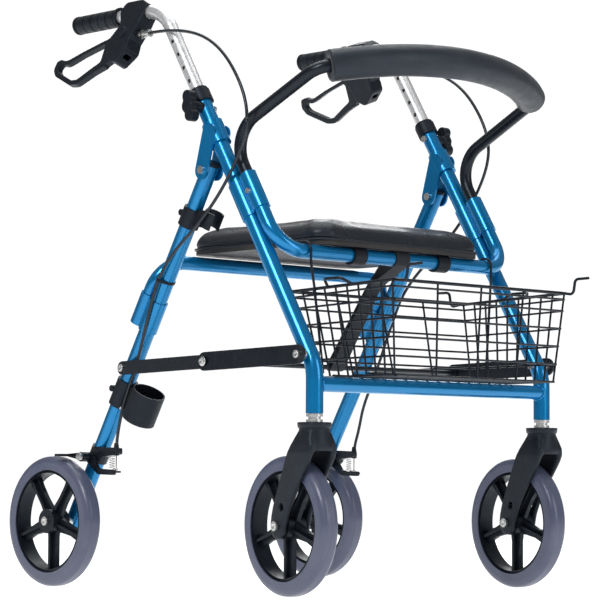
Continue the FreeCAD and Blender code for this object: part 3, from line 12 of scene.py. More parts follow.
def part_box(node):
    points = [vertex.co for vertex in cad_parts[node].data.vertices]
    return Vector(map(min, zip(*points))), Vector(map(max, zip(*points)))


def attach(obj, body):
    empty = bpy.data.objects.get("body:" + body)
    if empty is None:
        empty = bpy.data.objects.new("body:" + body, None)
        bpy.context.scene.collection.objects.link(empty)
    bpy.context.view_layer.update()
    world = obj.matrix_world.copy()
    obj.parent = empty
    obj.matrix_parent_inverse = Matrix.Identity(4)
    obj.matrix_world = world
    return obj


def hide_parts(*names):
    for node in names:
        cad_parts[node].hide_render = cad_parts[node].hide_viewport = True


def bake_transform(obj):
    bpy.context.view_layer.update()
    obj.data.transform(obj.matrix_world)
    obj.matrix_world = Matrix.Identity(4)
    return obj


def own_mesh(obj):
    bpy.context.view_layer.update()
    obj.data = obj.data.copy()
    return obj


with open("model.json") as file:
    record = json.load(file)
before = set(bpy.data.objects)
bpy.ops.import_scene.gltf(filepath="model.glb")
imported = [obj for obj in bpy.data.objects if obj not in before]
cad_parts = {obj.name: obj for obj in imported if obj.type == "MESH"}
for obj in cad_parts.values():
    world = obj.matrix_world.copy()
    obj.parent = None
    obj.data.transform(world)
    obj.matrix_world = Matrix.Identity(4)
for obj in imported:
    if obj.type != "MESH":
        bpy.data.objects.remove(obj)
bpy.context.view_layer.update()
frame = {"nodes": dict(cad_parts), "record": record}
SIDES = (("right", -1), ("left", 1))

# ------------------------------------
# Camera
# ------------------------------------
CAMERA_PLACE = Vector((-2.7635, -2.8101, 0.1749))
CAMERA_YAW = math.radians(44.097)
CAMERA_PITCH = math.radians(4.007)
CAMERA_ROLL = math.radians(0.2637)
LENS_MM = 150.2


def make_camera():
    """Camera at the photograph's place, level and lens."""
    forward = Vector((math.sin(CAMERA_YAW) * math.cos(CAMERA_PITCH),
                      math.cos(CAMERA_YAW) * math.cos(CAMERA_PITCH), math.sin(CAMERA_PITCH)))
    level = Vector((math.cos(CAMERA_YAW), -math.sin(CAMERA_YAW), 0))
    upright = level.cross(forward)
    right = level * math.cos(CAMERA_ROLL) + upright * math.sin(CAMERA_ROLL)
    up = upright * math.cos(CAMERA_ROLL) - level * math.sin(CAMERA_ROLL)
    data = bpy.data.cameras.new("camera")
    data.lens = LENS_MM
    data.sensor_width = 36
    data.clip_end = 60
    camera = bpy.data.objects.new("camera", data)
    turn = Matrix((right, up, -forward)).transposed()
    camera.matrix_world = Matrix.Translation(CAMERA_PLACE) @ turn.to_4x4()
    bpy.context.scene.collection.objects.link(camera)
    bpy.context.scene.camera = camera


make_camera()

# ------------------------------------
# Studio
# ------------------------------------
# The camera sees a plain white surround, and the object is lit by a softer one that is grey below.
SEEN_STRENGTH = 1.05
LIT_STRENGTH = 0.33


def area_light(name, place, target, size, power, tint=(1, 1, 1)):
    """Square soft box at a place, turned to a target."""
    data = bpy.data.lights.new(name, "AREA")
    data.shape = "RECTANGLE"
    data.size, data.size_y = size
    data.energy = power
    data.color = tint
    light = bpy.data.objects.new(name, data)
    light.location = place
    light.rotation_mode = "QUATERNION"
    light.rotation_quaternion = (Vector(target) - Vector(place)).to_track_quat("-Z", "Y")
    bpy.context.scene.collection.objects.link(light)


def make_studio():
    """Pale floor, a white surround and four soft boxes."""
    scene = bpy.context.scene
    scene.view_settings.view_transform = "Standard"
    world = bpy.data.worlds.new("studio")
    scene.world = world
    world.use_nodes = True
    nodes, links = world.node_tree.nodes, world.node_tree.links
    nodes.clear()
    output = nodes.new("ShaderNodeOutputWorld")
    seen = nodes.new("ShaderNodeBackground")
    seen.inputs["Color"].default_value = (1, 1, 1, 1)
    seen.inputs["Strength"].default_value = SEEN_STRENGTH
    lit = nodes.new("ShaderNodeBackground")
    lit.inputs["Strength"].default_value = LIT_STRENGTH
    direction = nodes.new("ShaderNodeTexCoord")
    split = nodes.new("ShaderNodeSeparateXYZ")
    ramp = nodes.new("ShaderNodeValToRGB")
    ramp.color_ramp.elements[0].position = 0.30
    ramp.color_ramp.elements[0].color = (0.25, 0.26, 0.28, 1)
    ramp.color_ramp.elements[1].position = 0.85
    ramp.color_ramp.elements[1].color = (1, 1, 1, 1)
    half = nodes.new("ShaderNodeMath")
    half.operation = "MULTIPLY_ADD"
    half.inputs[1].default_value = 0.5
    half.inputs[2].default_value = 0.5
    links.new(direction.outputs["Generated"], split.inputs[0])
    links.new(split.outputs["Z"], half.inputs[0])
    links.new(half.outputs[0], ramp.inputs[0])
    links.new(ramp.outputs["Color"], lit.inputs["Color"])
    path = nodes.new("ShaderNodeLightPath")
    mix = nodes.new("ShaderNodeMixShader")
    links.new(path.outputs["Is Camera Ray"], mix.inputs[0])
    links.new(lit.outputs[0], mix.inputs[1])
    links.new(seen.outputs[0], mix.inputs[2])
    links.new(mix.outputs[0], output.inputs[0])

    area_light("key_box", (-2.6, -0.9, 2.3), (0, 0, 0.45), (1.3, 1.3), 60)
    area_light("fill_box", (0.6, -3.0, 1.3), (0, 0, 0.5), (1.2, 1.8), 24)
    area_light("top_box", (0.3, 0.4, 2.9), (0, 0, 0.4), (2.4, 2.4), 46)
    area_light("back_box", (2.2, 1.8, 1.4), (0, 0, 0.5), (1.0, 2.0), 22)

    mesh = bpy.data.meshes.new("floor")
    reach = 24.0
    mesh.from_pydata([(-reach, -reach, 0), (reach, -reach, 0), (reach, reach, 0), (-reach, reach, 0)],
                     [], [(0, 1, 2, 3)])
    floor = bpy.data.objects.new("floor", mesh)
    scene.collection.objects.link(floor)
    material, shader = new_material("floor_white", (0.70, 0.70, 0.70), 0.7)
    shader.inputs["Specular IOR Level"].default_value = 0.2
    shader.inputs["Emission Color"].default_value = (1, 1, 1, 1)
    shader.inputs["Emission Strength"].default_value = 0.84
    mesh.materials.append(material)


# ------------------------------------
# Materials
# ------------------------------------


def new_material(name, colour, roughness, metallic=0.0):
    """Principled material; returns it and its shader node."""
    material = bpy.data.materials.new(name)
    material.use_nodes = True
    shader = material.node_tree.nodes["Principled BSDF"]
    shader.inputs["Base Color"].default_value = (*colour, 1)
    shader.inputs["Roughness"].default_value = roughness
    shader.inputs["Metallic"].default_value = metallic
    return material, shader


class Look:
    """Node-building shorthand for one material."""

    def __init__(self, name, colour, roughness, metallic=0.0):
        self.material, self.shader = new_material(name, colour, roughness, metallic)
        self.colour = colour
        self.nodes = self.material.node_tree.nodes
        self.links = self.material.node_tree.links
        self.place = self.nodes.new("ShaderNodeTexCoord").outputs["Object"]
        self.height = None

    def set(self, **values):
        for key, value in values.items():
            self.shader.inputs[key.replace("_", " ")].default_value = value

    def noise(self, scale, detail=3.0, rough=0.5, stretch=None):
        """Noise value over the surface; stretch scales the three axes."""
        place = self.place
        if stretch:
            mapping = self.nodes.new("ShaderNodeMapping")
            mapping.inputs["Scale"].default_value = stretch
            self.links.new(place, mapping.inputs["Vector"])
            place = mapping.outputs["Vector"]
        node = self.nodes.new("ShaderNodeTexNoise")
        node.inputs["Scale"].default_value = scale
        node.inputs["Detail"].default_value = detail
        node.inputs["Roughness"].default_value = rough
        self.links.new(place, node.inputs["Vector"])
        return node.outputs["Fac"]

    def voronoi(self, scale, feature="DISTANCE_TO_EDGE"):
        node = self.nodes.new("ShaderNodeTexVoronoi")
        node.feature = feature
        node.inputs["Scale"].default_value = scale
        self.links.new(self.place, node.inputs["Vector"])
        return node.outputs["Distance"]

    def ramp(self, value, low, high, first=0.0, last=1.0):
        """Maps value from low..high to first..last, clamped."""
        node = self.nodes.new("ShaderNodeMapRange")
        node.inputs["From Min"].default_value = low
        node.inputs["From Max"].default_value = high
        node.inputs["To Min"].default_value = first
        node.inputs["To Max"].default_value = last
        self.links.new(value, node.inputs["Value"])
        return node.outputs["Result"]

    def tint(self, value, other):
        """Base colour runs from the material's own colour to another as value goes 0 to 1."""
        node = self.nodes.new("ShaderNodeMix")
        node.data_type = "RGBA"
        socket = self.shader.inputs["Base Color"]
        if socket.is_linked:
            self.links.new(socket.links[0].from_socket, node.inputs["A"])
        else:
            node.inputs["A"].default_value = (*self.colour, 1)
        node.inputs["B"].default_value = (*other, 1)
        self.links.new(value, node.inputs["Factor"])
        self.links.new(node.outputs["Result"], socket)

    def gloss(self, value, low, high):
        """Roughness runs from low to high as value goes over its middle range."""
        self.links.new(self.ramp(value, 0.3, 0.7, low, high), self.shader.inputs["Roughness"])

    def bump(self, value, distance, strength=1.0):
        """Adds a bump of that height in metres under the ones made before."""
        node = self.nodes.new("ShaderNodeBump")
        node.inputs["Strength"].default_value = strength
        node.inputs["Distance"].default_value = distance
        self.links.new(value, node.inputs["Height"])
        if self.height is not None:
            self.links.new(self.height, node.inputs["Normal"])
        self.height = node.outputs["Normal"]
        self.links.new(self.height, self.shader.inputs["Normal"])

    def edges(self, low=0.52, high=0.62):
        """1 on worn outer edges, 0 elsewhere."""
        geometry = self.nodes.new("ShaderNodeNewGeometry")
        return self.ramp(geometry.outputs["Pointiness"], low, high)


COOL = (0.72, 0.86, 1.0, 1)


def blue_paint():
    """Azure metallic powder coat under a clear coat."""
    look = Look("blue_paint", (0.0006, 0.158, 0.385), 0.24, 0.55)
    look.set(Coat_Weight=0.45, Coat_Roughness=0.05, Specular_Tint=(0.35, 0.8, 1.0, 1))
    flake = look.voronoi(3600, "F1")
    look.tint(look.ramp(flake, 0.3, 0.7, 0.0, 0.16), (0.004, 0.22, 0.48))
    look.gloss(look.noise(30), 0.20, 0.26)
    look.bump(look.noise(800, 2), 0.000008, 0.5)
    look.tint(look.ramp(look.noise(9), 0.45, 0.7, 0.0, 0.25), (0.0005, 0.118, 0.30))
    return look.material


def black_plastic():
    """Moulded black nylon with a fine spark-eroded texture."""
    look = Look("black_plastic", (0.0040, 0.0052, 0.0082), 0.40)
    look.set(Specular_IOR_Level=0.24, Specular_Tint=COOL)
    look.tint(look.ramp(look.noise(60), 0.4, 0.7, 0.0, 1.0), (0.0068, 0.0082, 0.0118))
    look.gloss(look.noise(140), 0.36, 0.5)
    look.bump(look.noise(2300, 2), 0.00008, 0.6)
    return look.material


def black_paint():
    """Satin black powder coat, a little lighter along its edges."""
    look = Look("black_paint", (0.0035, 0.0046, 0.0075), 0.30)
    look.set(Coat_Weight=0.08, Coat_Roughness=0.15, Specular_IOR_Level=0.26, Specular_Tint=COOL)
    look.tint(look.ramp(look.noise(40), 0.4, 0.75), (0.0062, 0.0075, 0.0110))
    look.tint(look.edges(0.56, 0.75), (0.022, 0.024, 0.028))
    look.gloss(look.noise(200), 0.27, 0.4)
    look.bump(look.noise(900, 2), 0.00006, 0.5)
    return look.material


def zinc():
    """Zinc plated steel, slightly mottled."""
    look = Look("zinc", (0.62, 0.62, 0.60), 0.3, 1.0)
    look.tint(look.ramp(look.noise(500), 0.4, 0.7), (0.45, 0.46, 0.47))
    look.gloss(look.noise(300), 0.2, 0.4)
    look.bump(look.noise(1400, 2), 0.00005, 0.4)
    return look.material


def aluminium():
    """Satin anodised tube, drawn lengthwise."""
    look = Look("aluminium", (0.80, 0.80, 0.81), 0.38, 0.75)
    look.tint(look.ramp(look.noise(260, 2, stretch=(1, 0.04, 0.04)), 0.35, 0.7), (0.60, 0.61, 0.62))
    look.gloss(look.noise(180, 2), 0.26, 0.4)
    look.bump(look.noise(900, 2, stretch=(1, 0.04, 0.04)), 0.00004, 0.4)
    return look.material


def black_rubber():
    """Matt rubber and dense foam skin."""
    look = Look("black_rubber", (0.0045, 0.0058, 0.0088), 0.48)
    look.set(Specular_IOR_Level=0.26, Specular_Tint=COOL)
    look.tint(look.ramp(look.noise(50), 0.4, 0.7), (0.0080, 0.0094, 0.0128))
    look.gloss(look.noise(120), 0.42, 0.6)
    look.bump(look.noise(2600, 3), 0.0001, 0.5)
    return look.material


def foam_skin():
    """Charcoal integral-skin foam: smooth, with a soft sheen and fine pores."""
    look = Look("foam_skin", (0.0130, 0.0155, 0.0210), 0.44)
    look.set(Sheen_Weight=0.06, Sheen_Roughness=0.4, Specular_IOR_Level=0.32, Specular_Tint=COOL)
    look.tint(look.ramp(look.noise(24), 0.4, 0.7), (0.0180, 0.0210, 0.0270))
    look.gloss(look.noise(70), 0.38, 0.5)
    look.bump(look.ramp(look.voronoi(1900, "F1"), 0.05, 0.35), 0.00012, 0.5)
    look.bump(look.noise(160, 3), 0.00025, 0.4)
    return look.material


def seat_vinyl():
    """Black upholstery vinyl: leather grain, creases and a soft gloss."""
    look = Look("seat_vinyl", (0.0036, 0.0046, 0.0078), 0.34)
    look.set(Coat_Weight=0.16, Coat_Roughness=0.18, Specular_IOR_Level=0.30, Specular_Tint=COOL)
    look.tint(look.ramp(look.noise(30), 0.4, 0.7), (0.0062, 0.0074, 0.0112))
    look.gloss(look.noise(45, 4), 0.25, 0.38)
    look.bump(look.ramp(look.voronoi(900), 0.0, 0.2), 0.00022, 0.7)
    look.bump(look.noise(38, 4, 0.6), 0.0012, 0.45)
    return look.material


def seat_board():
    """Brown-grey fibre board with pressed speckle."""
    look = Look("seat_board", (0.030, 0.0275, 0.027), 0.6)
    look.set(Specular_IOR_Level=0.3)
    look.tint(look.ramp(look.noise(18, 4, 0.6), 0.35, 0.7), (0.020, 0.0185, 0.0185))
    look.tint(look.ramp(look.noise(900, 2), 0.62, 0.75, 0.0, 0.6), (0.070, 0.066, 0.064))
    look.gloss(look.noise(60), 0.45, 0.65)
    look.bump(look.noise(700, 3), 0.00015, 0.5)
    return look.material


def webbing():
    """Woven polyester strap: ribs across and chevrons along."""
    look = Look("webbing", (0.0050, 0.0062, 0.0092), 0.62)
    look.set(Sheen_Weight=0.08, Sheen_Roughness=0.5, Specular_IOR_Level=0.25, Specular_Tint=COOL)
    wave = look.nodes.new("ShaderNodeTexWave")
    wave.bands_direction = "X"
    wave.inputs["Scale"].default_value = 190
    look.links.new(look.place, wave.inputs["Vector"])
    cross = look.nodes.new("ShaderNodeTexWave")
    cross.bands_direction = "Z"
    cross.inputs["Scale"].default_value = 260
    look.links.new(look.place, cross.inputs["Vector"])
    look.bump(wave.outputs["Fac"], 0.0003, 0.8)
    look.bump(cross.outputs["Fac"], 0.0003, 0.8)
    look.tint(look.ramp(cross.outputs["Fac"], 0.3, 0.9), (0.0120, 0.0135, 0.0165))
    return look.material


def tyre(name, hub, turn):
    """Grey-violet solid tyre with fine mould lines running round the tread."""
    look = Look(name, (0.060, 0.070, 0.118), 0.34)
    look.set(Coat_Weight=0.2, Coat_Roughness=0.12, Specular_IOR_Level=0.42)
    mapping = look.nodes.new("ShaderNodeMapping")
    mapping.vector_type = "TEXTURE"
    mapping.inputs["Location"].default_value = hub
    mapping.inputs["Rotation"].default_value = (0, 0, turn)
    look.links.new(look.place, mapping.inputs["Vector"])
    wave = look.nodes.new("ShaderNodeTexWave")
    wave.wave_type = "RINGS"
    wave.rings_direction = "X"
    wave.inputs["Scale"].default_value = 95
    wave.inputs["Distortion"].default_value = 0.0
    look.links.new(mapping.outputs["Vector"], wave.inputs["Vector"])
    lines = look.ramp(wave.outputs["Fac"], 0.86, 1.0)
    look.tint(look.ramp(look.noise(14, 4, 0.6), 0.4, 0.7), (0.080, 0.091, 0.142))
    look.tint(look.ramp(lines, 0.0, 1.0, 0.0, 0.35), (0.036, 0.043, 0.078))
    look.gloss(look.noise(40, 4), 0.28, 0.42)
    look.bump(lines, 0.0002, 0.4)
    look.bump(look.noise(1500, 2), 0.00006, 0.5)
    return look.material


make_studio()
FINISHES = {
    "blue_paint": blue_paint(),
    "black_plastic": black_plastic(),
    "black_paint": black_paint(),
    "zinc": zinc(),
    "aluminium": aluminium(),
    "black_rubber": black_rubber(),
    "seat_board": seat_board(),
    "seat_vinyl": seat_vinyl(),
    "webbing": webbing(),
}

# Places and sizes of the CAD's casters, axles and legs that several pieces share.
CASTER_TURN = math.radians(8)
CASTER_TRAIL = 0.058
AXLE_HEIGHT = 0.1015
STEM_Y = -0.247
LEG_X = 0.250
LEG_RADIUS = 0.0127


def paint_nodes():
    """Every CAD node gets the finish of its record slot."""
    for row in frame["record"]["subparts"]:
        node = row["node"]
        obj = frame["nodes"][node]
        if node.endswith("_tyre"):
            low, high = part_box(node)
            hub = tuple((a + b) / 2 for a, b in zip(low, high))
            turn = CASTER_TURN if node.startswith("front") else 0.0
            material = tyre(node + "_rubber", hub, turn)
        else:
            material = FINISHES[row["material_slot"]]
        if not obj.material_slots:
            obj.data.materials.append(material)
        for place in obj.material_slots:
            place.material = material


paint_nodes()

# ------------------------------------
# Mesh helpers
# ------------------------------------


def new_piece(name, verts, faces, material, body):
    """Smooth-shaded mesh piece of one material, riding on a body if one is given."""
    mesh = bpy.data.meshes.new(name)
    mesh.from_pydata([tuple(v) for v in verts], [], faces)
    mesh.materials.append(material)
    for polygon in mesh.polygons:
        polygon.use_smooth = True
    obj = bpy.data.objects.new(name, mesh)
    bpy.context.scene.collection.objects.link(obj)
    if body:
        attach(obj, body)
    return obj


def swept(points, ring, closed=False):
    """Rings of a cross-section carried along points without twist.

    ring(i, side, up) gives the offsets of ring i.
    """
    verts = []
    last = None
    count = len(points)
    for i, point in enumerate(points):
        before = points[i - 1] if i or closed else points[0]
        after = points[(i + 1) % count] if i + 1 < count or closed else points[-1]
        along = (after - before).normalized()
        if last is None:
            last = along.orthogonal().normalized()
        side = (last - along * last.dot(along)).normalized()
        last = side
        up = along.cross(side)
        verts.extend(point + offset for offset in ring(i, side, up))
    return verts


def ring_faces(rings, around, closed=False, caps=True):
    """Quads between neighbouring rings, with a cap on each end of an open sweep."""
    faces = []
    for i in range(rings if closed else rings - 1):
        for j in range(around):
            a, b = i * around, ((i + 1) % rings) * around
            k = (j + 1) % around
            faces.append((a + j, a + k, b + k, b + j))
    if caps and not closed:
        faces.append(tuple(reversed(range(around))))
        faces.append(tuple(range((rings - 1) * around, rings * around)))
    return faces


def round_ring(radius_of, around):
    """Ring function of circles whose radius depends on the ring's number."""
    steps = [2 * math.pi * j / around for j in range(around)]

    def ring(i, side, up):
        radius = radius_of(i)
        return [(side * math.cos(a) + up * math.sin(a)) * radius for a in steps]
    return ring


def tube_piece(name, points, radius, material, body, around, closed=False):
    """Round tube of constant radius along points."""
    verts = swept(points, round_ring(lambda i: radius, around), closed)
    return new_piece(name, verts, ring_faces(len(points), around, closed), material, body)


def spline_line(points, per_span=14):
    """Points along the smooth NURBS spline of a route's control points."""
    curve = bpy.data.curves.new("route", "CURVE")
    curve.dimensions = "3D"
    curve.resolution_u = per_span
    spline = curve.splines.new("NURBS")
    spline.points.add(len(points) - 1)
    for spot, point in zip(spline.points, points):
        spot.co = (*point, 1)
    spline.order_u = 3
    spline.use_endpoint_u = True
    holder = bpy.data.objects.new("route", curve)
    bpy.context.scene.collection.objects.link(holder)
    mesh = bpy.data.meshes.new_from_object(holder)
    line = [vertex.co.copy() for vertex in mesh.vertices]
    bpy.data.objects.remove(holder)
    bpy.data.curves.remove(curve)
    bpy.data.meshes.remove(mesh)
    return line


def fillet(before, corner, after, radius, steps):
    """Arc that rounds a corner, as points."""
    a, b = (before - corner).normalized(), (after - corner).normalized()
    half = a.angle(b) / 2
    centre = corner + (a + b).normalized() * (radius / math.sin(half))
    start = (corner + a * (radius / math.tan(half)) - centre).normalized()
    end = (corner + b * (radius / math.tan(half)) - centre).normalized()
    return [centre + start.slerp(end, k / steps) * radius for k in range(steps + 1)]


def smooth_step(t):
    t = min(max(t, 0.0), 1.0)
    return t * t * (3 - 2 * t)


# ------------------------------------
# Seat cushion
# ------------------------------------


def rounded_outline(half_x, front, rear, corner, step, pull):
    """Points round a rounded rectangle; its sides are drawn in by pull between the corners."""
    points = []
    corners = [((half_x - corner), (front + corner), -90), ((half_x - corner), (rear - corner), 0),
               (-(half_x - corner), (rear - corner), 90), (-(half_x - corner), (front + corner), 180)]
    for number, (cx, cy, start) in enumerate(corners):
        steps = max(int(corner * math.pi / 2 / step), 4)
        for k in range(steps + 1):
            a = math.radians(start + 90 * k / steps)
            points.append(Vector((cx + corner * math.cos(a), cy + corner * math.sin(a), 0)))
        nx, ny = corners[(number + 1) % 4][:2]
        a = math.radians(start + 90)
        here, there = points[-1], Vector((nx + corner * math.cos(a), ny + corner * math.sin(a), 0))
        run = max(int((there - here).length / step), 2)
        inward = Vector((-math.cos(a), -math.sin(a), 0))
        for k in range(1, run):
            t = k / run
            points.append(here.lerp(there, t) + inward * pull * math.sin(math.pi * t))
    return points


def inflate(obj, pressure, frames, cap, hold):
    """Blows a closed mesh up as cloth, no point further than cap, with the group hold kept still."""
    scene = bpy.context.scene
    cloth = obj.modifiers.new("Cloth", "CLOTH")
    settings = cloth.settings
    settings.quality = 4
    settings.mass = 0.4
    settings.tension_stiffness = 30
    settings.compression_stiffness = 30
    settings.shear_stiffness = 12
    settings.bending_stiffness = 0.8
    settings.use_pressure = True
    settings.uniform_pressure_force = pressure
    settings.effector_weights.gravity = 0
    cloth.collision_settings.use_collision = False
    cloth.point_cache.frame_start = 1
    cloth.point_cache.frame_end = frames
    settings.vertex_group_mass = hold
    for number in range(1, frames + 1):
        scene.frame_set(number)
    shaped = obj.evaluated_get(bpy.context.evaluated_depsgraph_get()).data
    moved = [vertex.co.copy() for vertex in shaped.vertices]
    obj.modifiers.remove(cloth)
    scene.frame_set(1)
    for vertex, place in zip(obj.data.vertices, moved):
        step = place - vertex.co
        if step.length > cap:
            step *= cap / step.length
        vertex.co += step


def remeshed(obj, voxel):
    """Even voxel skin over a closed mesh."""
    modifier = obj.modifiers.new("Remesh", "REMESH")
    modifier.mode = "VOXEL"
    modifier.voxel_size = voxel
    modifier.use_smooth_shade = True
    apply_modifiers(obj)


def apply_modifiers(obj):
    """Replaces a piece's mesh by its mesh with the modifiers in it."""
    graph = bpy.context.evaluated_depsgraph_get()
    mesh = bpy.data.meshes.new_from_object(obj.evaluated_get(graph))
    obj.modifiers.clear()
    old = obj.data
    obj.data = mesh
    bpy.data.meshes.remove(old)


def relax(obj, rounds, factor=0.5):
    modifier = obj.modifiers.new("Smooth", "SMOOTH")
    modifier.iterations = rounds
    modifier.factor = factor
    apply_modifiers(obj)


BOARD_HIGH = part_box("seat_board")[1]
CUSHION_LOW, CUSHION_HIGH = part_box("seat_cushion")
SEAM_Z = BOARD_HIGH.z + 0.0012


def make_cushion():
    """Vinyl cushion: foam under a skin drawn down over the board's edge."""
    half, front, rear = CUSHION_HIGH.x, CUSHION_LOW.y, CUSHION_HIGH.y
    top = CUSHION_HIGH.z
    rings = [(0.0035, BOARD_HIGH.z - 0.0002), (0.0012, SEAM_Z + 0.002), (0.0008, SEAM_Z + 0.009),
             (0.0022, SEAM_Z + 0.017), (0.0065, top - 0.0085), (0.0130, top - 0.0040),
             (0.0230, top - 0.0018), (0.0400, top - 0.0008), (0.0700, top + 0.0004),
             (0.1000, top + 0.0010)]
    verts = []
    around = None
    for inset, height in rings:
        corner = max(0.034 - inset * 0.5, 0.012)
        line = rounded_outline(half - inset, front + inset, rear - inset, corner, 0.0075, 0.0022)
        if around is None:
            around = len(line)
        line = resample(line, around)
        verts.extend(Vector((p.x, p.y, height)) for p in line)
    faces = ring_faces(len(rings), around)
    cushion = new_piece("cushion", verts, faces, FINISHES["seat_vinyl"], None)
    remeshed(cushion, 0.0055)
    hold = cushion.vertex_groups.new(name="hold")
    low = [v.index for v in cushion.data.vertices if v.co.z < SEAM_Z + 0.001]
    hold.add(low, 1.0, "REPLACE")
    inflate(cushion, pressure=4.0, frames=20, cap=0.0045, hold="hold")
    cushion.vertex_groups.clear()
    for vertex in cushion.data.vertices:
        vertex.co.z = max(vertex.co.z, BOARD_HIGH.z)
    relax(cushion, 6)
    modifier = cushion.modifiers.new("Subdivision", "SUBSURF")
    modifier.levels = modifier.render_levels = 1
    apply_modifiers(cushion)
    normals = [vertex.normal.copy() for vertex in cushion.data.vertices]
    for vertex, normal in zip(cushion.data.vertices, normals):
        place = vertex.co.copy()
        side = smooth_step((place.z - SEAM_Z) / 0.012)
        crease = noise.noise(Vector((place.x * 26, place.y * 26, place.z * 60)))
        place += normal * crease * 0.0006 * side
        vertex.co = (place.x, place.y, max(place.z, BOARD_HIGH.z))
    for polygon in cushion.data.polygons:
        polygon.use_smooth = True
    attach(cushion, "seat")
    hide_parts("seat_cushion")


def resample(line, count):
    """The same closed line with count points, evenly spaced."""
    total = sum((b - a).length for a, b in zip(line, line[1:] + line[:1]))
    result, walked = [], 0.0
    index = 0
    loop = line + line[:1]
    for k in range(count):
        target = total * k / count
        while walked + (loop[index + 1] - loop[index]).length < target:
            walked += (loop[index + 1] - loop[index]).length
            index += 1
        span = (loop[index + 1] - loop[index]).length
        result.append(loop[index].lerp(loop[index + 1], (target - walked) / span))
    return result


make_cushion()


def make_piping():
    """Welt cord where the skin is stapled round the board."""
    inset = 0.0016
    line = rounded_outline(CUSHION_HIGH.x - inset, CUSHION_LOW.y + inset, CUSHION_HIGH.y - inset,
                           0.033, 0.004, 0.0022)
    line = [Vector((p.x, p.y, SEAM_Z)) for p in line]
    tube_piece("cushion_piping", line, 0.0019, FINISHES["seat_vinyl"], "seat",
               around=10, closed=True)


make_piping()

# ------------------------------------
# Backrest foam
# ------------------------------------
FOAM_END = Vector((-0.240, -0.238, 0.766))
FOAM_MIDDLE = Vector((0, -0.378, 0.8135))
FOAM_BEND = 0.415
FOAM_INSET = 0.0195
FOAM_RADIUS = 0.024
TUBE_RADIUS = 0.0097


def make_foam():
    """Foam sleeve slid on the backrest tube, its ends cut square."""
    other = Vector((-FOAM_END.x, FOAM_END.y, FOAM_END.z))
    arc = fillet(FOAM_END, FOAM_MIDDLE, other, FOAM_BEND, 90)
    start = FOAM_END + (FOAM_MIDDLE - FOAM_END).normalized() * FOAM_INSET
    end = Vector((-start.x, start.y, start.z))
    lead = [start.lerp(arc[0], k / 8) for k in range(8)]
    trail = [arc[-1].lerp(end, k / 8) for k in range(1, 9)]
    line = lead + arc + trail
    first = line[0]
    inward = (line[1] - line[0]).normalized()
    mouth = [first + inward * depth for depth in (0.004, 0.0005, 0.0, 0.0006, 0.0022)]
    points = mouth + line[2:-2] + [Vector((-p.x, p.y, p.z)) for p in reversed(mouth)]
    count = len(points)
    profile = [TUBE_RADIUS, TUBE_RADIUS + 0.0015, FOAM_RADIUS - 0.0035, FOAM_RADIUS - 0.0010,
               FOAM_RADIUS]

    def radius_of(i):
        near = min(i, count - 1 - i)
        return profile[near] if near < len(profile) else FOAM_RADIUS

    around = 56
    verts = []
    tangents = []
    for i in range(count):
        if i <= 5:
            tangents.append(inward)
        elif i >= count - 6:
            tangents.append(Vector((inward.x, -inward.y, -inward.z)))
        else:
            tangents.append((points[i + 1] - points[i - 1]).normalized())
    side = Vector((0, 0, 1))
    for i, point in enumerate(points):
        along = tangents[i]
        side = (side - along * side.dot(along)).normalized()
        up = along.cross(side)
        for j in range(around):
            a = 2 * math.pi * j / around
            swell = 0.0
            if radius_of(i) > FOAM_RADIUS - 0.0036:
                swell = 0.0004 * noise.noise(point * 14 + side * 3 * math.cos(a) + up * 3 * math.sin(a))
            verts.append(point + (side * math.cos(a) + up * math.sin(a)) * (radius_of(i) + swell))
    faces = ring_faces(count, around, caps=False)
    foam = new_piece("backrest_pad", verts, faces, foam_skin(), "front_frame")
    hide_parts("backrest_foam")


make_foam()

# ------------------------------------
# Brake cables
# ------------------------------------
CABLE_RADIUS = 0.0025
CABLE_UPPER = ((-0.2633, 0.111, 0.8564), (-0.265, 0.039, 0.857), (-0.268, -0.058, 0.822),
               (-0.268, -0.122, 0.733), (-0.268, -0.120, 0.699))
CABLE_LOWER = ((-0.268, -0.120, 0.699), (-0.268, -0.118, 0.665), (-0.269, -0.046, 0.571),
               (-0.270, 0.065, 0.495), (-0.267, 0.100, 0.420), (-0.263, 0.131, 0.342),
               (-0.263, 0.1585, 0.292), (-0.2645, 0.170, 0.252), (-0.262, 0.179, 0.222),
               (-0.262, 0.179, 0.204))


def on_side(route, sign):
    """Points of a route given for the right side, on the side of that sign."""
    return [Vector((-sign * p[0], p[1], p[2])) for p in route]


def cable_casing():
    """Glossy black casing of the brake cables."""
    look = Look("cable_casing", (0.0060, 0.0072, 0.0100), 0.28)
    look.set(Coat_Weight=0.2, Coat_Roughness=0.15, Specular_IOR_Level=0.35, Specular_Tint=COOL)
    look.tint(look.ramp(look.noise(70), 0.4, 0.7), (0.0110, 0.0125, 0.0160))
    look.gloss(look.noise(90), 0.22, 0.36)
    look.bump(look.noise(1300, 2), 0.00005, 0.5)
    return look.material


def make_cables():
    """Each casing in two lengths, which meet where it passes the front frame."""
    material = cable_casing()
    for side, sign in SIDES:
        for part, route, bodies, limits in (
                ("upper", CABLE_UPPER, ("handle_" + side, "front_frame"), (0, -1)),
                ("lower", CABLE_LOWER, ("front_frame", "rear_frame"), (1, 4))):
            route = on_side(route, sign)
            line = spline_line(route)
            name = "cable_%s_%s" % (part, side)
            verts = swept(line, round_ring(lambda i: CABLE_RADIUS, 14))
            casing = new_piece(name, verts, ring_faces(len(line), 14), material, None)
            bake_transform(casing)
            if part == "upper":
                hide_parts("brake_cable_" + side)


make_cables()

# ------------------------------------
# Seat strap
# ------------------------------------
STRAP_HALF = 0.0149
STRAP_PLY = 0.0016

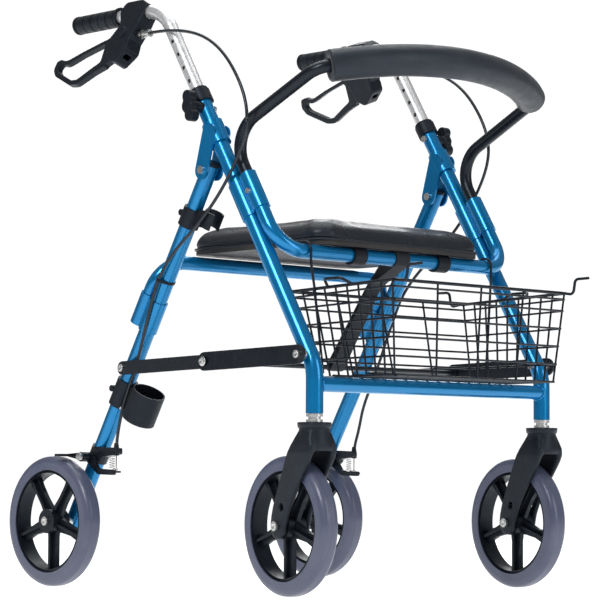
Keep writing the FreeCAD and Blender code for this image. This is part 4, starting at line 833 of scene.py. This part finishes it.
# Centre (Y, Z) and inner radius of each turn; within its hold, the webbing isn't eased.
BAR = Vector((-0.17258, 0.505))
BAR_RADIUS = 0.0113
BAR_HOLD = 0.0150
KNEE = Vector((-0.122, 0.466))
KNEE_RADIUS = 0.0004
ROD = Vector((-0.0378, 0.34341))
ROD_RADIUS = 0.0043
ROD_HOLD = 0.0080


def belt(centre_a, radius_a, centre_b, radius_b):
    """Direction of a belt's span and the angle of its tangent points from it."""
    span = centre_b - centre_a
    return math.atan2(span.y, span.x), math.acos((radius_a - radius_b) / span.length)


def on_circle(centre, radius, angle):
    return centre + Vector((math.cos(angle), math.sin(angle))) * radius


def strap_line():
    """Closed centre line of the webbing in Y-Z: round the bar, sewn at the knee, round the rod."""
    ply = STRAP_PLY / 2
    bar, knee, rod = BAR_RADIUS + ply, KNEE_RADIUS + ply, ROD_RADIUS + ply
    upper, spread = belt(BAR, bar, KNEE, knee)
    lower, reach = belt(KNEE, knee, ROD, rod)
    line = [on_circle(BAR, bar, upper - spread - (2 * math.pi - 2 * spread) * k / 40)
            for k in range(41)]
    line += [on_circle(KNEE, knee, upper + spread), on_circle(KNEE, knee, lower + reach)]
    line += [on_circle(ROD, rod, lower + reach - 2 * reach * k / 24) for k in range(25)]
    line += [on_circle(KNEE, knee, lower - reach), on_circle(KNEE, knee, upper - spread)]
    line = resample(line, 190)
    for _ in range(14):
        eased = []
        for k, point in enumerate(line):
            free = (point - BAR).length > BAR_HOLD and (point - ROD).length > ROD_HOLD
            middle = (line[k - 1] + line[(k + 1) % len(line)]) / 2
            eased.append(point.lerp(middle, 0.5) if free else point)
        line = eased
    return line


def make_strap():
    """Webbing loop from the front seat bar to the rod between the centre hinges, with its stitches."""
    line = strap_line()
    count = len(line)
    outline = [(-1.0, -0.35), (-0.985, -0.9), (-0.9, -1.0), (0, -1.0), (0.9, -1.0), (0.985, -0.9),
               (1.0, -0.35), (1.0, 0.35), (0.985, 0.9), (0.9, 1.0), (0, 1.0), (-0.9, 1.0), (-0.985, 0.9),
               (-1.0, 0.35)]
    verts, outward = [], []
    for k, point in enumerate(line):
        along = (line[(k + 1) % count] - line[k - 1]).normalized()
        out = Vector((-along.y, along.x))
        outward.append(out)
        wave = 0.0003 * math.sin(k * 0.9)
        for across, depth in outline:
            place = point + out * (depth * STRAP_PLY / 2)
            verts.append(Vector((across * (STRAP_HALF - 0.0001 + wave * 0.3), place.x, place.y)))
    strap = new_piece("strap_webbing", verts, ring_faces(count, len(outline), closed=True),
                      FINISHES["webbing"], None)
    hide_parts("seat_strap")
    pieces = [strap]
    thread = Look("strap_thread", (0.035, 0.035, 0.037), 0.6)
    thread.tint(thread.ramp(thread.noise(900), 0.4, 0.7), (0.06, 0.06, 0.063))
    thread.bump(thread.noise(4000, 2), 0.0001, 0.6)
    near = min(range(count), key=lambda k: (line[k] - KNEE.lerp(BAR, 0.16)).length)
    half_row, pitch, legs = 0.0125, 0.0012, 24
    for row in range(4):
        k = (near + 3 * row - 4) % count
        face = 1 if (outward[k].x < 0) else -1
        base = line[k] + outward[k] * (face * (STRAP_PLY / 2 + 0.0001))
        step = (line[(k + 1) % count] - line[k]).normalized()
        zigzag = []
        for j in range(legs + 1):
            shift = base + step * (pitch * (j % 2))
            zigzag.append(Vector((-half_row + 2 * half_row * j / legs, shift.x, shift.y)))
        verts = swept(zigzag, round_ring(lambda i: 0.00035, 6))
        pieces.append(new_piece("strap_stitch_%d" % (row + 1), verts, ring_faces(len(zigzag), 6),
                                thread.material, None))
    for piece in pieces:
        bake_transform(piece)


make_strap()

# ------------------------------------
# Small fittings of the cables
# ------------------------------------


def lathe(name, profile, origin, axis, material, body, around=28):
    """Turned piece: profile is a list of (distance along the axis, radius)."""
    axis = Vector(axis).normalized()
    side = axis.orthogonal().normalized()
    up = axis.cross(side)
    verts = []
    for along, radius in profile:
        for j in range(around):
            a = 2 * math.pi * j / around
            verts.append(Vector(origin) + axis * along + (side * math.cos(a) + up * math.sin(a)) * radius)
    return new_piece(name, verts, ring_faces(len(profile), around), material, body)


def make_cable_ends():
    """Ferrule, boot, bare wire and nipple at the brake end of each cable."""
    for side, sign in SIDES:
        seat = on_side(CABLE_LOWER, sign)[-1]
        lathe("cable_boot_" + side,
              [(0.0002, 0.0027), (0.0002, 0.0042), (0.0010, 0.0046), (0.0052, 0.0046), (0.0060, 0.0040),
               (0.0072, 0.0040), (0.0080, 0.0045), (0.0120, 0.0042), (0.0190, 0.0034), (0.0196, 0.0030),
               (0.0196, 0.0026)],
              seat, (0, 0, 1), FINISHES["black_rubber"], "rear_frame")
        nipple = seat - Vector((0, 0, 0.0229))
        wire = lathe("cable_wire_" + side,
                     [(0.0, 0.0003), (0.0, 0.0020), (0.0004, 0.0024), (0.0030, 0.0024),
                      (0.0034, 0.0020), (0.0036, 0.0008), (0.0230, 0.0008), (0.0230, 0.0003)],
                     nipple, (0, 0, 1), FINISHES["zinc"], "rear_frame", 14)
        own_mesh(wire)


make_cable_ends()


def make_springs():
    """Return springs between the brake brackets and the arms."""
    for side, sign in SIDES:
        foot = Vector((sign * 0.261, 0.190, 0.1810))
        turns, height, radius, wire = 6.0, 0.0220, 0.0042, 0.0006
        steps, closed = 144, 0.12
        line = []
        for k in range(steps + 1):
            t = k / steps
            rise = t * height
            if t < closed:
                rise = height * closed * (t / closed) ** 2 * 0.6 + 0.0004 * t / closed
            elif t > 1 - closed:
                rise = (height - height * closed * ((1 - t) / closed) ** 2 * 0.6
                        - 0.0004 * (1 - t) / closed)
            a = 2 * math.pi * turns * t
            line.append(foot + Vector((radius * math.cos(a), radius * math.sin(a), rise)))
        spring = tube_piece("brake_spring_" + side, line, wire, FINISHES["zinc"], "rear_frame", 8)
        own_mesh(spring)
        if sign < 0:
            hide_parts("brake_springs")


make_springs()


def make_cable_ties():
    """Nylon tie that holds each cable to its rear leg."""
    down = Vector((0, 0.314, -0.531)).normalized()
    round_leg, round_cable, half_width, half_thickness = 0.0132, 0.0032, 0.0022, 0.0010
    for side, sign in SIDES:
        leg = Vector((sign * LEG_X, 0.0769, 0.472))
        line = spline_line(on_side(CABLE_LOWER, sign))
        cable = min(line, key=lambda p: abs((p - leg).dot(down)))
        cable = cable - down * (cable - leg).dot(down)
        across = cable - leg
        east = across.normalized()
        north = down.cross(east)
        spread = math.acos((0.0130 - 0.0031) / across.length)
        ring = [leg + (east * math.cos(a) + north * math.sin(a)) * round_leg
                for a in (spread + (2 * math.pi - 2 * spread) * k / 36 for k in range(37))]
        ring += [cable + (east * math.cos(a) + north * math.sin(a)) * round_cable
                 for a in (-spread + 2 * spread * k / 14 for k in range(15))]
        verts = []
        count = len(ring)
        for k, point in enumerate(ring):
            along = (ring[(k + 1) % count] - ring[k - 1]).normalized()
            out = along.cross(down)
            for height, depth in ((-1.0, -0.4), (-0.8, -0.6), (0.8, -0.6), (1.0, -0.4),
                                  (1.0, 0.4), (0.8, 0.6), (-0.8, 0.6), (-1.0, 0.4)):
                verts.append(point + down * (height * half_width) + out * (depth * half_thickness))
        new_piece("cable_tie_" + side, verts, ring_faces(count, 8, closed=True), FINISHES["black_plastic"],
                  "rear_frame")


make_cable_ties()

# ------------------------------------
# Bolt heads and welds
# ------------------------------------


def hex_bolt(name, origin, axis, body, radius=0.0052):
    """Washer and chamfered hexagon head with a small dimple."""
    lathe(name + "_washer", [(0.0, radius), (0.0, radius * 1.28), (0.0003, radius * 1.36),
                             (0.0010, radius * 1.36), (0.0013, radius * 1.28), (0.0013, radius * 0.8)],
          origin, axis, FINISHES["zinc"], body)
    head = lathe(name, [(0.0013, radius * 0.9), (0.0013, radius), (0.0037, radius),
                        (0.0045, radius * 0.84), (0.0045, radius * 0.45), (0.0041, radius * 0.25)],
                 origin, axis, FINISHES["zinc"], body, 6)
    for polygon in head.data.polygons:
        polygon.use_smooth = False


def make_knee_bolts():
    """Bolt at the middle joint of each folding strut."""
    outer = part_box("front_strut_bars")[1].x
    for side, sign in SIDES:
        hex_bolt("strut_bolt_" + side, (sign * outer, ROD.x, ROD.y), (sign, 0, 0), "front_struts")


make_knee_bolts()


def bead(name, points, radius, body):
    """Closed weld bead with overlapping ripples."""
    ring = round_ring(lambda i: radius * (1 + 0.16 * math.sin(i * math.pi / 2)), 8)
    verts = swept(points, ring, closed=True)
    faces = ring_faces(len(points), 8, closed=True)
    new_piece(name, verts, faces, FINISHES["blue_paint"], body)


def make_welds():
    """Beads where the crossbar meets the front legs."""
    low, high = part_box("front_crossbar")
    middle = (low + high) / 2
    radius = (high.z - low.z) / 2
    lift = 0.0006
    for side, sign in SIDES:
        points = []
        for k in range(72):
            a = 2 * math.pi * k / 72
            reach = math.sqrt(LEG_RADIUS ** 2 - (radius * math.cos(a)) ** 2)
            points.append(Vector((sign * (LEG_X - reach - lift),
                                  middle.y + (radius + lift) * math.cos(a),
                                  middle.z + (radius + lift) * math.sin(a))))
        bead("crossbar_weld_" + side, points, 0.0016, "front_frame")


make_welds()

# ------------------------------------
# Caster forks
# ------------------------------------


def fork_nylon():
    """Glass-filled nylon with a coarse moulded grain."""
    look = Look("fork_nylon", (0.0055, 0.0068, 0.0100), 0.44)
    look.set(Specular_IOR_Level=0.3, Specular_Tint=COOL)
    look.tint(look.ramp(look.noise(45), 0.4, 0.7), (0.0085, 0.0100, 0.0138))
    look.gloss(look.noise(160), 0.38, 0.52)
    look.bump(look.noise(950, 3, 0.6), 0.00022, 0.8)
    return look.material


def bulb_ring(x, y, z, half_x, half_y, power, around=32):
    """Level superellipse."""
    ring = []
    for j in range(around):
        a = 2 * math.pi * j / around
        c, s = math.cos(a), math.sin(a)
        ring.append(Vector((x + half_x * math.copysign(abs(c) ** (2 / power), c),
                            y + half_y * math.copysign(abs(s) ** (2 / power), s), z)))
    return ring


def make_forks():
    """Wishbone fork: round neck, shoulder and two tapered arms grown into one skin."""
    trail, axle = CASTER_TRAIL, AXLE_HEIGHT
    boss, cheek, half_cheek = 0.0185, 0.02025, 0.00475
    arm = [(0.238, 0.0000, 0.0170, 0.0120, 0.0080), (0.228, 0.0010, 0.0210, 0.0155, 0.0085),
           (0.218, 0.0025, 0.0265, 0.0182, 0.0078), (0.208, 0.0060, 0.0290, 0.0203, 0.0066),
           (0.198, 0.0110, 0.0290, 0.0209, 0.0056), (0.186, 0.0180, 0.0275, 0.0208, 0.0054),
           (0.170, 0.0275, 0.0252, 0.0206, 0.0052), (0.150, 0.0395, 0.0228, 0.0204, 0.0049),
           (0.130, 0.0500, 0.0207, cheek, half_cheek), (0.115, 0.0555, 0.0194, cheek, half_cheek)]
    arm += [(axle - boss * math.sin(math.radians(d)), trail,
             boss * max(math.cos(math.radians(d)), 0.1), cheek, half_cheek)
            for d in (0, 25, 45, 62, 76, 88)]
    crown = [(0.247, 0.0225, 0.0225, 2.0), (0.239, 0.0223, 0.0223, 2.0), (0.231, 0.0232, 0.0232, 2.1),
             (0.223, 0.0245, 0.0250, 2.4), (0.215, 0.0250, 0.0255, 2.8), (0.2095, 0.0245, 0.0240, 3.0)]
    verts, faces = [], []
    shells = [[bulb_ring(sign * x, y, z, t, w, 3.2) for z, y, w, x, t in arm] for sign in (-1, 1)]
    shells.append([bulb_ring(0, 0, z, hx, hy, power) for z, hx, hy, power in crown])
    for rings in shells:
        first = len(verts)
        for ring in rings:
            verts.extend(ring)
        faces.extend(tuple(first + v for v in face) for face in ring_faces(len(rings), 32))
    material = fork_nylon()
    for side, sign in SIDES:
        body = "caster_" + side
        fork = new_piece("fork_" + side, verts, faces, material, None)
        remeshed(fork, 0.0015)
        relax(fork, 7)
        bore = lathe("fork_bore_" + side, [(-0.04, 0.0062), (0.04, 0.0062)],
                     (0, trail - 0.011, axle + 0.028), (1, 0, 0), material, None, 24)
        cut = fork.modifiers.new("Hole", "BOOLEAN")
        cut.operation = "DIFFERENCE"
        cut.solver = "EXACT"
        cut.object = bore
        apply_modifiers(fork)
        bpy.data.objects.remove(bore)
        for polygon in fork.data.polygons:
            polygon.use_smooth = True
        turn = Matrix.Translation((sign * LEG_X, STEM_Y, 0)) @ Matrix.Rotation(-CASTER_TURN, 4, "Z")
        fork.data.transform(turn)
        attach(fork, body)
        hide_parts(body + "_fork")
        lathe("fork_cap_" + side,
              [(0.2425, 0.0215), (0.2425, 0.0232), (0.2432, 0.0240), (0.2490, 0.0248), (0.2502, 0.0246),
               (0.2509, 0.0238), (0.2509, 0.0130), (0.2500, 0.0124), (0.2500, 0.0064), (0.2440, 0.0064)],
              (sign * LEG_X, STEM_Y, 0), (0, 0, 1), material, body, 48)


make_forks()

# ------------------------------------
# Hexagon sockets
# ------------------------------------


def dark_recess():
    """Shadowed bottom of a socket."""
    look = Look("dark_recess", (0.004, 0.004, 0.005), 0.7)
    look.tint(look.ramp(look.noise(700), 0.4, 0.7), (0.012, 0.012, 0.013))
    look.bump(look.noise(2500, 2), 0.00008, 0.5)
    return look.material


RECESS = dark_recess()
AXLE_SOCKET = 0.0056
BOLT_SOCKET = 0.005


def socket(name, outside, axis, body, radius):
    """Rolled rim and six-sided recess on the bolt end that is met when looking in from outside."""
    graph = bpy.context.evaluated_depsgraph_get()
    outside, axis = Vector(outside), Vector(axis).normalized()
    hit, place, *_ = bpy.context.scene.ray_cast(graph, outside, -axis, distance=0.06)
    if not hit:
        return
    lathe(name + "_rim", [(0.0, radius * 0.58), (0.0, radius * 0.98), (0.0006, radius * 0.94),
                          (0.0010, radius * 0.78), (0.0008, radius * 0.62)],
          place, axis, FINISHES["zinc"], body, 24)
    hollow = lathe(name + "_recess",
                   [(0.0001, radius * 0.66), (0.0007, radius * 0.62), (0.0004, radius * 0.28)],
                   place, axis, RECESS, body, 6)
    for polygon in hollow.data.polygons:
        polygon.use_smooth = False


def make_sockets():
    """Sockets on the wheel axles, strut bolts and hinge bolts."""
    turn = Matrix.Rotation(-CASTER_TURN, 3, "Z")
    for side, sign in SIDES:
        hub = Vector((sign * LEG_X, STEM_Y, 0)) + turn @ Vector((0, CASTER_TRAIL, AXLE_HEIGHT))
        for number, way in enumerate((-1, 1)):
            out = turn @ Vector((way, 0, 0))
            name = "caster_socket_%s_%d" % (side, number + 1)
            socket(name, hub + out * 0.05, out, "caster_" + side, AXLE_SOCKET)
        out = Vector((sign, 0, 0))
        spots = (("axle", 0.296, AXLE_HEIGHT, "rear_frame", AXLE_SOCKET),
                 ("strut_front", -0.23775, 0.348, "front_frame", BOLT_SOCKET),
                 ("strut_rear", 0.15557, 0.33898, "rear_frame", BOLT_SOCKET),
                 ("hinge", -0.018, 0.6325, "front_frame", BOLT_SOCKET))
        for label, y, z, body, radius in spots:
            socket("%s_socket_%s" % (label, side), (sign * 0.33, y, z), out, body, radius)


make_sockets()


def make_badges():
    """Round cap on the side of each brake housing, and the clamp screw of the cane cup."""
    for side, sign in SIDES:
        out = Vector((sign * 0.94, 0, 0.342)).normalized()
        lathe("housing_cap_" + side,
              [(-0.0006, 0.0086), (0.0006, 0.0092), (0.0013, 0.0088), (0.0016, 0.0078), (0.0012, 0.0066),
               (0.0013, 0.0030)],
              (sign * 0.2758, 0.1587, 0.8630), out, FINISHES["black_plastic"], "handle_" + side,
              40)
    lathe("cup_screw",
          [(-0.0006, 0.0024), (0.0009, 0.0026), (0.0015, 0.0021), (0.0017, 0.0011), (0.0012, 0.0008)],
          (-0.2572, 0.1746, 0.2779), (-0.463, -0.763, -0.451), FINISHES["zinc"], "rear_frame", 20)


make_badges()

# ------------------------------------
# Moulded pieces with soft edges
# ------------------------------------


def soften(node, body, name, voxel, rounds):
    """Moulding with rounded edges and the outline of a CAD node, which it stands for."""
    source = frame["nodes"][node]
    mesh = source.data.copy()
    mesh.transform(source.matrix_world)
    mesh.materials.clear()
    mesh.materials.append(FINISHES["black_plastic"])
    piece = bpy.data.objects.new(name, mesh)
    bpy.context.scene.collection.objects.link(piece)
    remeshed(piece, voxel)
    relax(piece, rounds)
    for polygon in piece.data.polygons:
        polygon.use_smooth = True
    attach(piece, body)
    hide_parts(node)


for side, _ in SIDES:
    soften("brake_lever_" + side, "lever_" + side, "lever_moulding_" + side, 0.0009, 5)
    soften("brake_housing_" + side, "handle_" + side, "housing_moulding_" + side, 0.0012, 4)
    soften("height_knob_" + side, "knob_" + side, "knob_moulding_" + side, 0.0010, 4)
